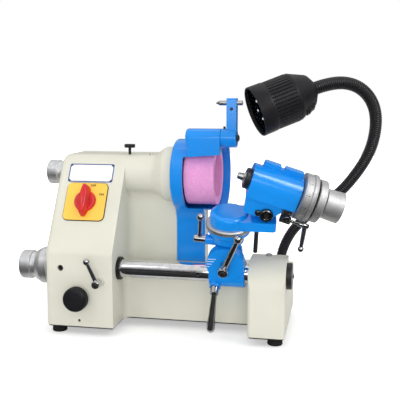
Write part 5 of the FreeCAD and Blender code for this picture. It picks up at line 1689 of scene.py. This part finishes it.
@dataclass(frozen=True)
class SoftBox:
    """Soft lamp with a rectangular face, in metres and watts.

    shine is True where polished surfaces show it, matt where it lights matt surfaces.
    """

    name: str
    place: Point
    aim: Point
    size: Pair
    energy: float
    shine: bool = True
    matt: bool = True

    def hang(self) -> None:
        """Put the lamp in the scene, turned to what it aims at."""
        data = bpy.data.lights.new(self.name, "AREA")
        data.shape = "RECTANGLE"
        data.size, data.size_y = self.size
        data.energy = self.energy
        made = linked(self.name, data)
        made.location = self.place
        way = Vector(self.aim) - Vector(self.place)
        made.rotation_euler = way.to_track_quat("-Z", "Y").to_euler()
        made.visible_glossy = self.shine
        made.visible_diffuse = self.matt


MIDDLE: Point = (0.03, 0.0, 0.18)
WORK_SIDE: Point = (0.2, -0.05, 0.25)


@dataclass
class Studio:
    """Pale floor, soft lamps and the camera.

    The camera's distance and target, and the floor's fade, are in metres.
    """

    finishes: Finishes
    floor_z: float = -12.0
    floor_half: float = 4000.0
    floor_steps: int = 8
    floor_grey: Colour = (0.8, 0.8, 0.8)
    floor_fade: Pair = (0.25, 0.9)
    floor_glow: Pair = (0.42, 1.0)
    card_line: Sequence[Pair] = ((-112.0, -11.0), (-1100.0, -9.0), (-1380.0, 10.0),
                                 (-1480.0, 90.0), (-1500.0, 300.0))
    card_columns: Sequence[float] = (-1800.0, -600.0, 600.0, 1800.0)
    room_tint: Colour = (1.0, 0.995, 0.98)
    room_light: float = 0.9
    sky_rise: Pair = (0.2, 0.6)
    sky_light: Pair = (0.08, 1.0)
    lamps: Sequence[SoftBox] = (
        SoftBox("key_lamp", (-0.9, -1.5, 1.7), MIDDLE, (0.6, 0.6), 2.4),
        SoftBox("top_lamp", (0.1, 0.1, 2.0), MIDDLE, (1.0, 0.5), 2.0),
        SoftBox("side_lamp", (1.45, -0.75, 1.65), WORK_SIDE, (0.45, 0.65), 6.0, shine=False),
        SoftBox("band_lamp", (1.35, -1.1, 1.35), WORK_SIDE, (0.5, 1.0), 15.0, matt=False),
        SoftBox("fill_lamp", (0.4, -2.4, 0.5), MIDDLE, (1.6, 1.0), 16.0))
    lens: float = 63.0
    sensor: float = 36.0
    azimuth: float = 11.37
    elevation: float = 7.99
    distance: float = 1.0797
    target: Point = (0.06358, -0.100, 0.21796)

    def floor(self) -> None:
        """Lay the floor, white to the camera but still taking the shadow."""
        steps = self.floor_steps
        marks = [self.floor_half * (2 * step / steps - 1) for step in range(steps + 1)]
        form = Form()
        form.sheet([[Vector((x, y, self.floor_z)) for y in marks] for x in marks])
        shade = Shading("pale_floor")
        colour = shade.cloud(shade.noise(size=400.0), self.floor_grey, low=0.975, high=1.0)
        matt = shade.add("BsdfDiffuse", Color=colour)
        away = shade.work("VectorMath", "LENGTH", shade.place)
        far = shade.stretch(away, self.floor_fade, self.floor_glow)
        glow = shade.add("Emission", Strength=far)
        dark = shade.add("Emission", Strength=0.0)
        both = shade.add("AddShader")
        shade.fill(both, 0, matt.outputs[0])
        shade.fill(both, 1, shade.mix(shade.seen(), dark.outputs[0], glow.outputs[0]))
        form.piece("floor", Matrix(), shade.end(both.outputs[0]))

    def dark_card(self) -> None:
        """Stand a dark card in front that only polished surfaces see."""
        form = Form()
        form.sheet([[Vector((x, y, z)) for x in self.card_columns] for y, z in self.card_line])
        card = form.piece("dark_card", Matrix(), self.finishes.get(Finishes.RUBBER))
        card.visible_camera = False
        card.visible_diffuse = False
        card.visible_shadow = False
        card.visible_transmission = False

    def world(self) -> None:
        """Set the even light of the room, the white that the camera sees and the sky that metal
        sees, bright above and dim low down.
        """
        world = bpy.data.worlds.new("room")
        bpy.context.scene.world = world
        tree = Tree(world)
        soft = tree.add("Background", Color=(*self.room_tint, 1.0), Strength=self.room_light)
        white = tree.add("Background", Color=(1.0, 1.0, 1.0, 1.0), Strength=1.0)
        way = tree.add("SeparateXYZ", Vector=tree.add("TexCoord").outputs["Generated"])
        fade = tree.stretch(way.outputs["Z"], self.sky_rise, self.sky_light)
        sky = tree.add("Background", Strength=fade)
        glossy = tree.add("LightPath").outputs["Is Glossy Ray"]
        room = tree.mix(glossy, soft.outputs[0], sky.outputs[0])
        tree.add("OutputWorld", Surface=tree.mix(tree.seen(), room, white.outputs[0]))

    def camera(self) -> None:
        """Set the camera where the photograph was taken from."""
        around, above = math.radians(self.azimuth), math.radians(self.elevation)
        back = Vector((math.sin(around) * math.cos(above), -math.cos(around) * math.cos(above),
                       math.sin(above)))
        data = bpy.data.cameras.new("camera")
        data.lens = self.lens
        data.sensor_width = self.sensor
        data.sensor_fit = "HORIZONTAL"
        data.clip_end = 50.0
        made = linked("camera", data)
        made.location = Vector(self.target) + back * self.distance
        made.rotation_euler = (-back).to_track_quat("-Z", "Y").to_euler()
        bpy.context.scene.camera = made

    def build(self) -> None:
        """Set up floor, room, lamps and camera."""
        bpy.context.scene.view_settings.view_transform = "Standard"
        self.floor()
        self.dark_card()
        self.world()
        for lamp in self.lamps:
            lamp.hang()
        self.camera()


def main() -> None:
    """Load the frame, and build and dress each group."""
    logging.basicConfig(level=logging.INFO, format="%(name)s: %(message)s")
    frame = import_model()
    finishes = Finishes()
    for group in (Casting, WheelHead, FeedControls, SwitchPanel, WorkSupport, WorkHead, Lamp):
        assembly = group(frame["nodes"], finishes)
        assembly.build()
        assembly.dress()
        LOG.info("built %s", group.__name__)
    Studio(finishes).build()


if __name__ == "__main__":
    main()
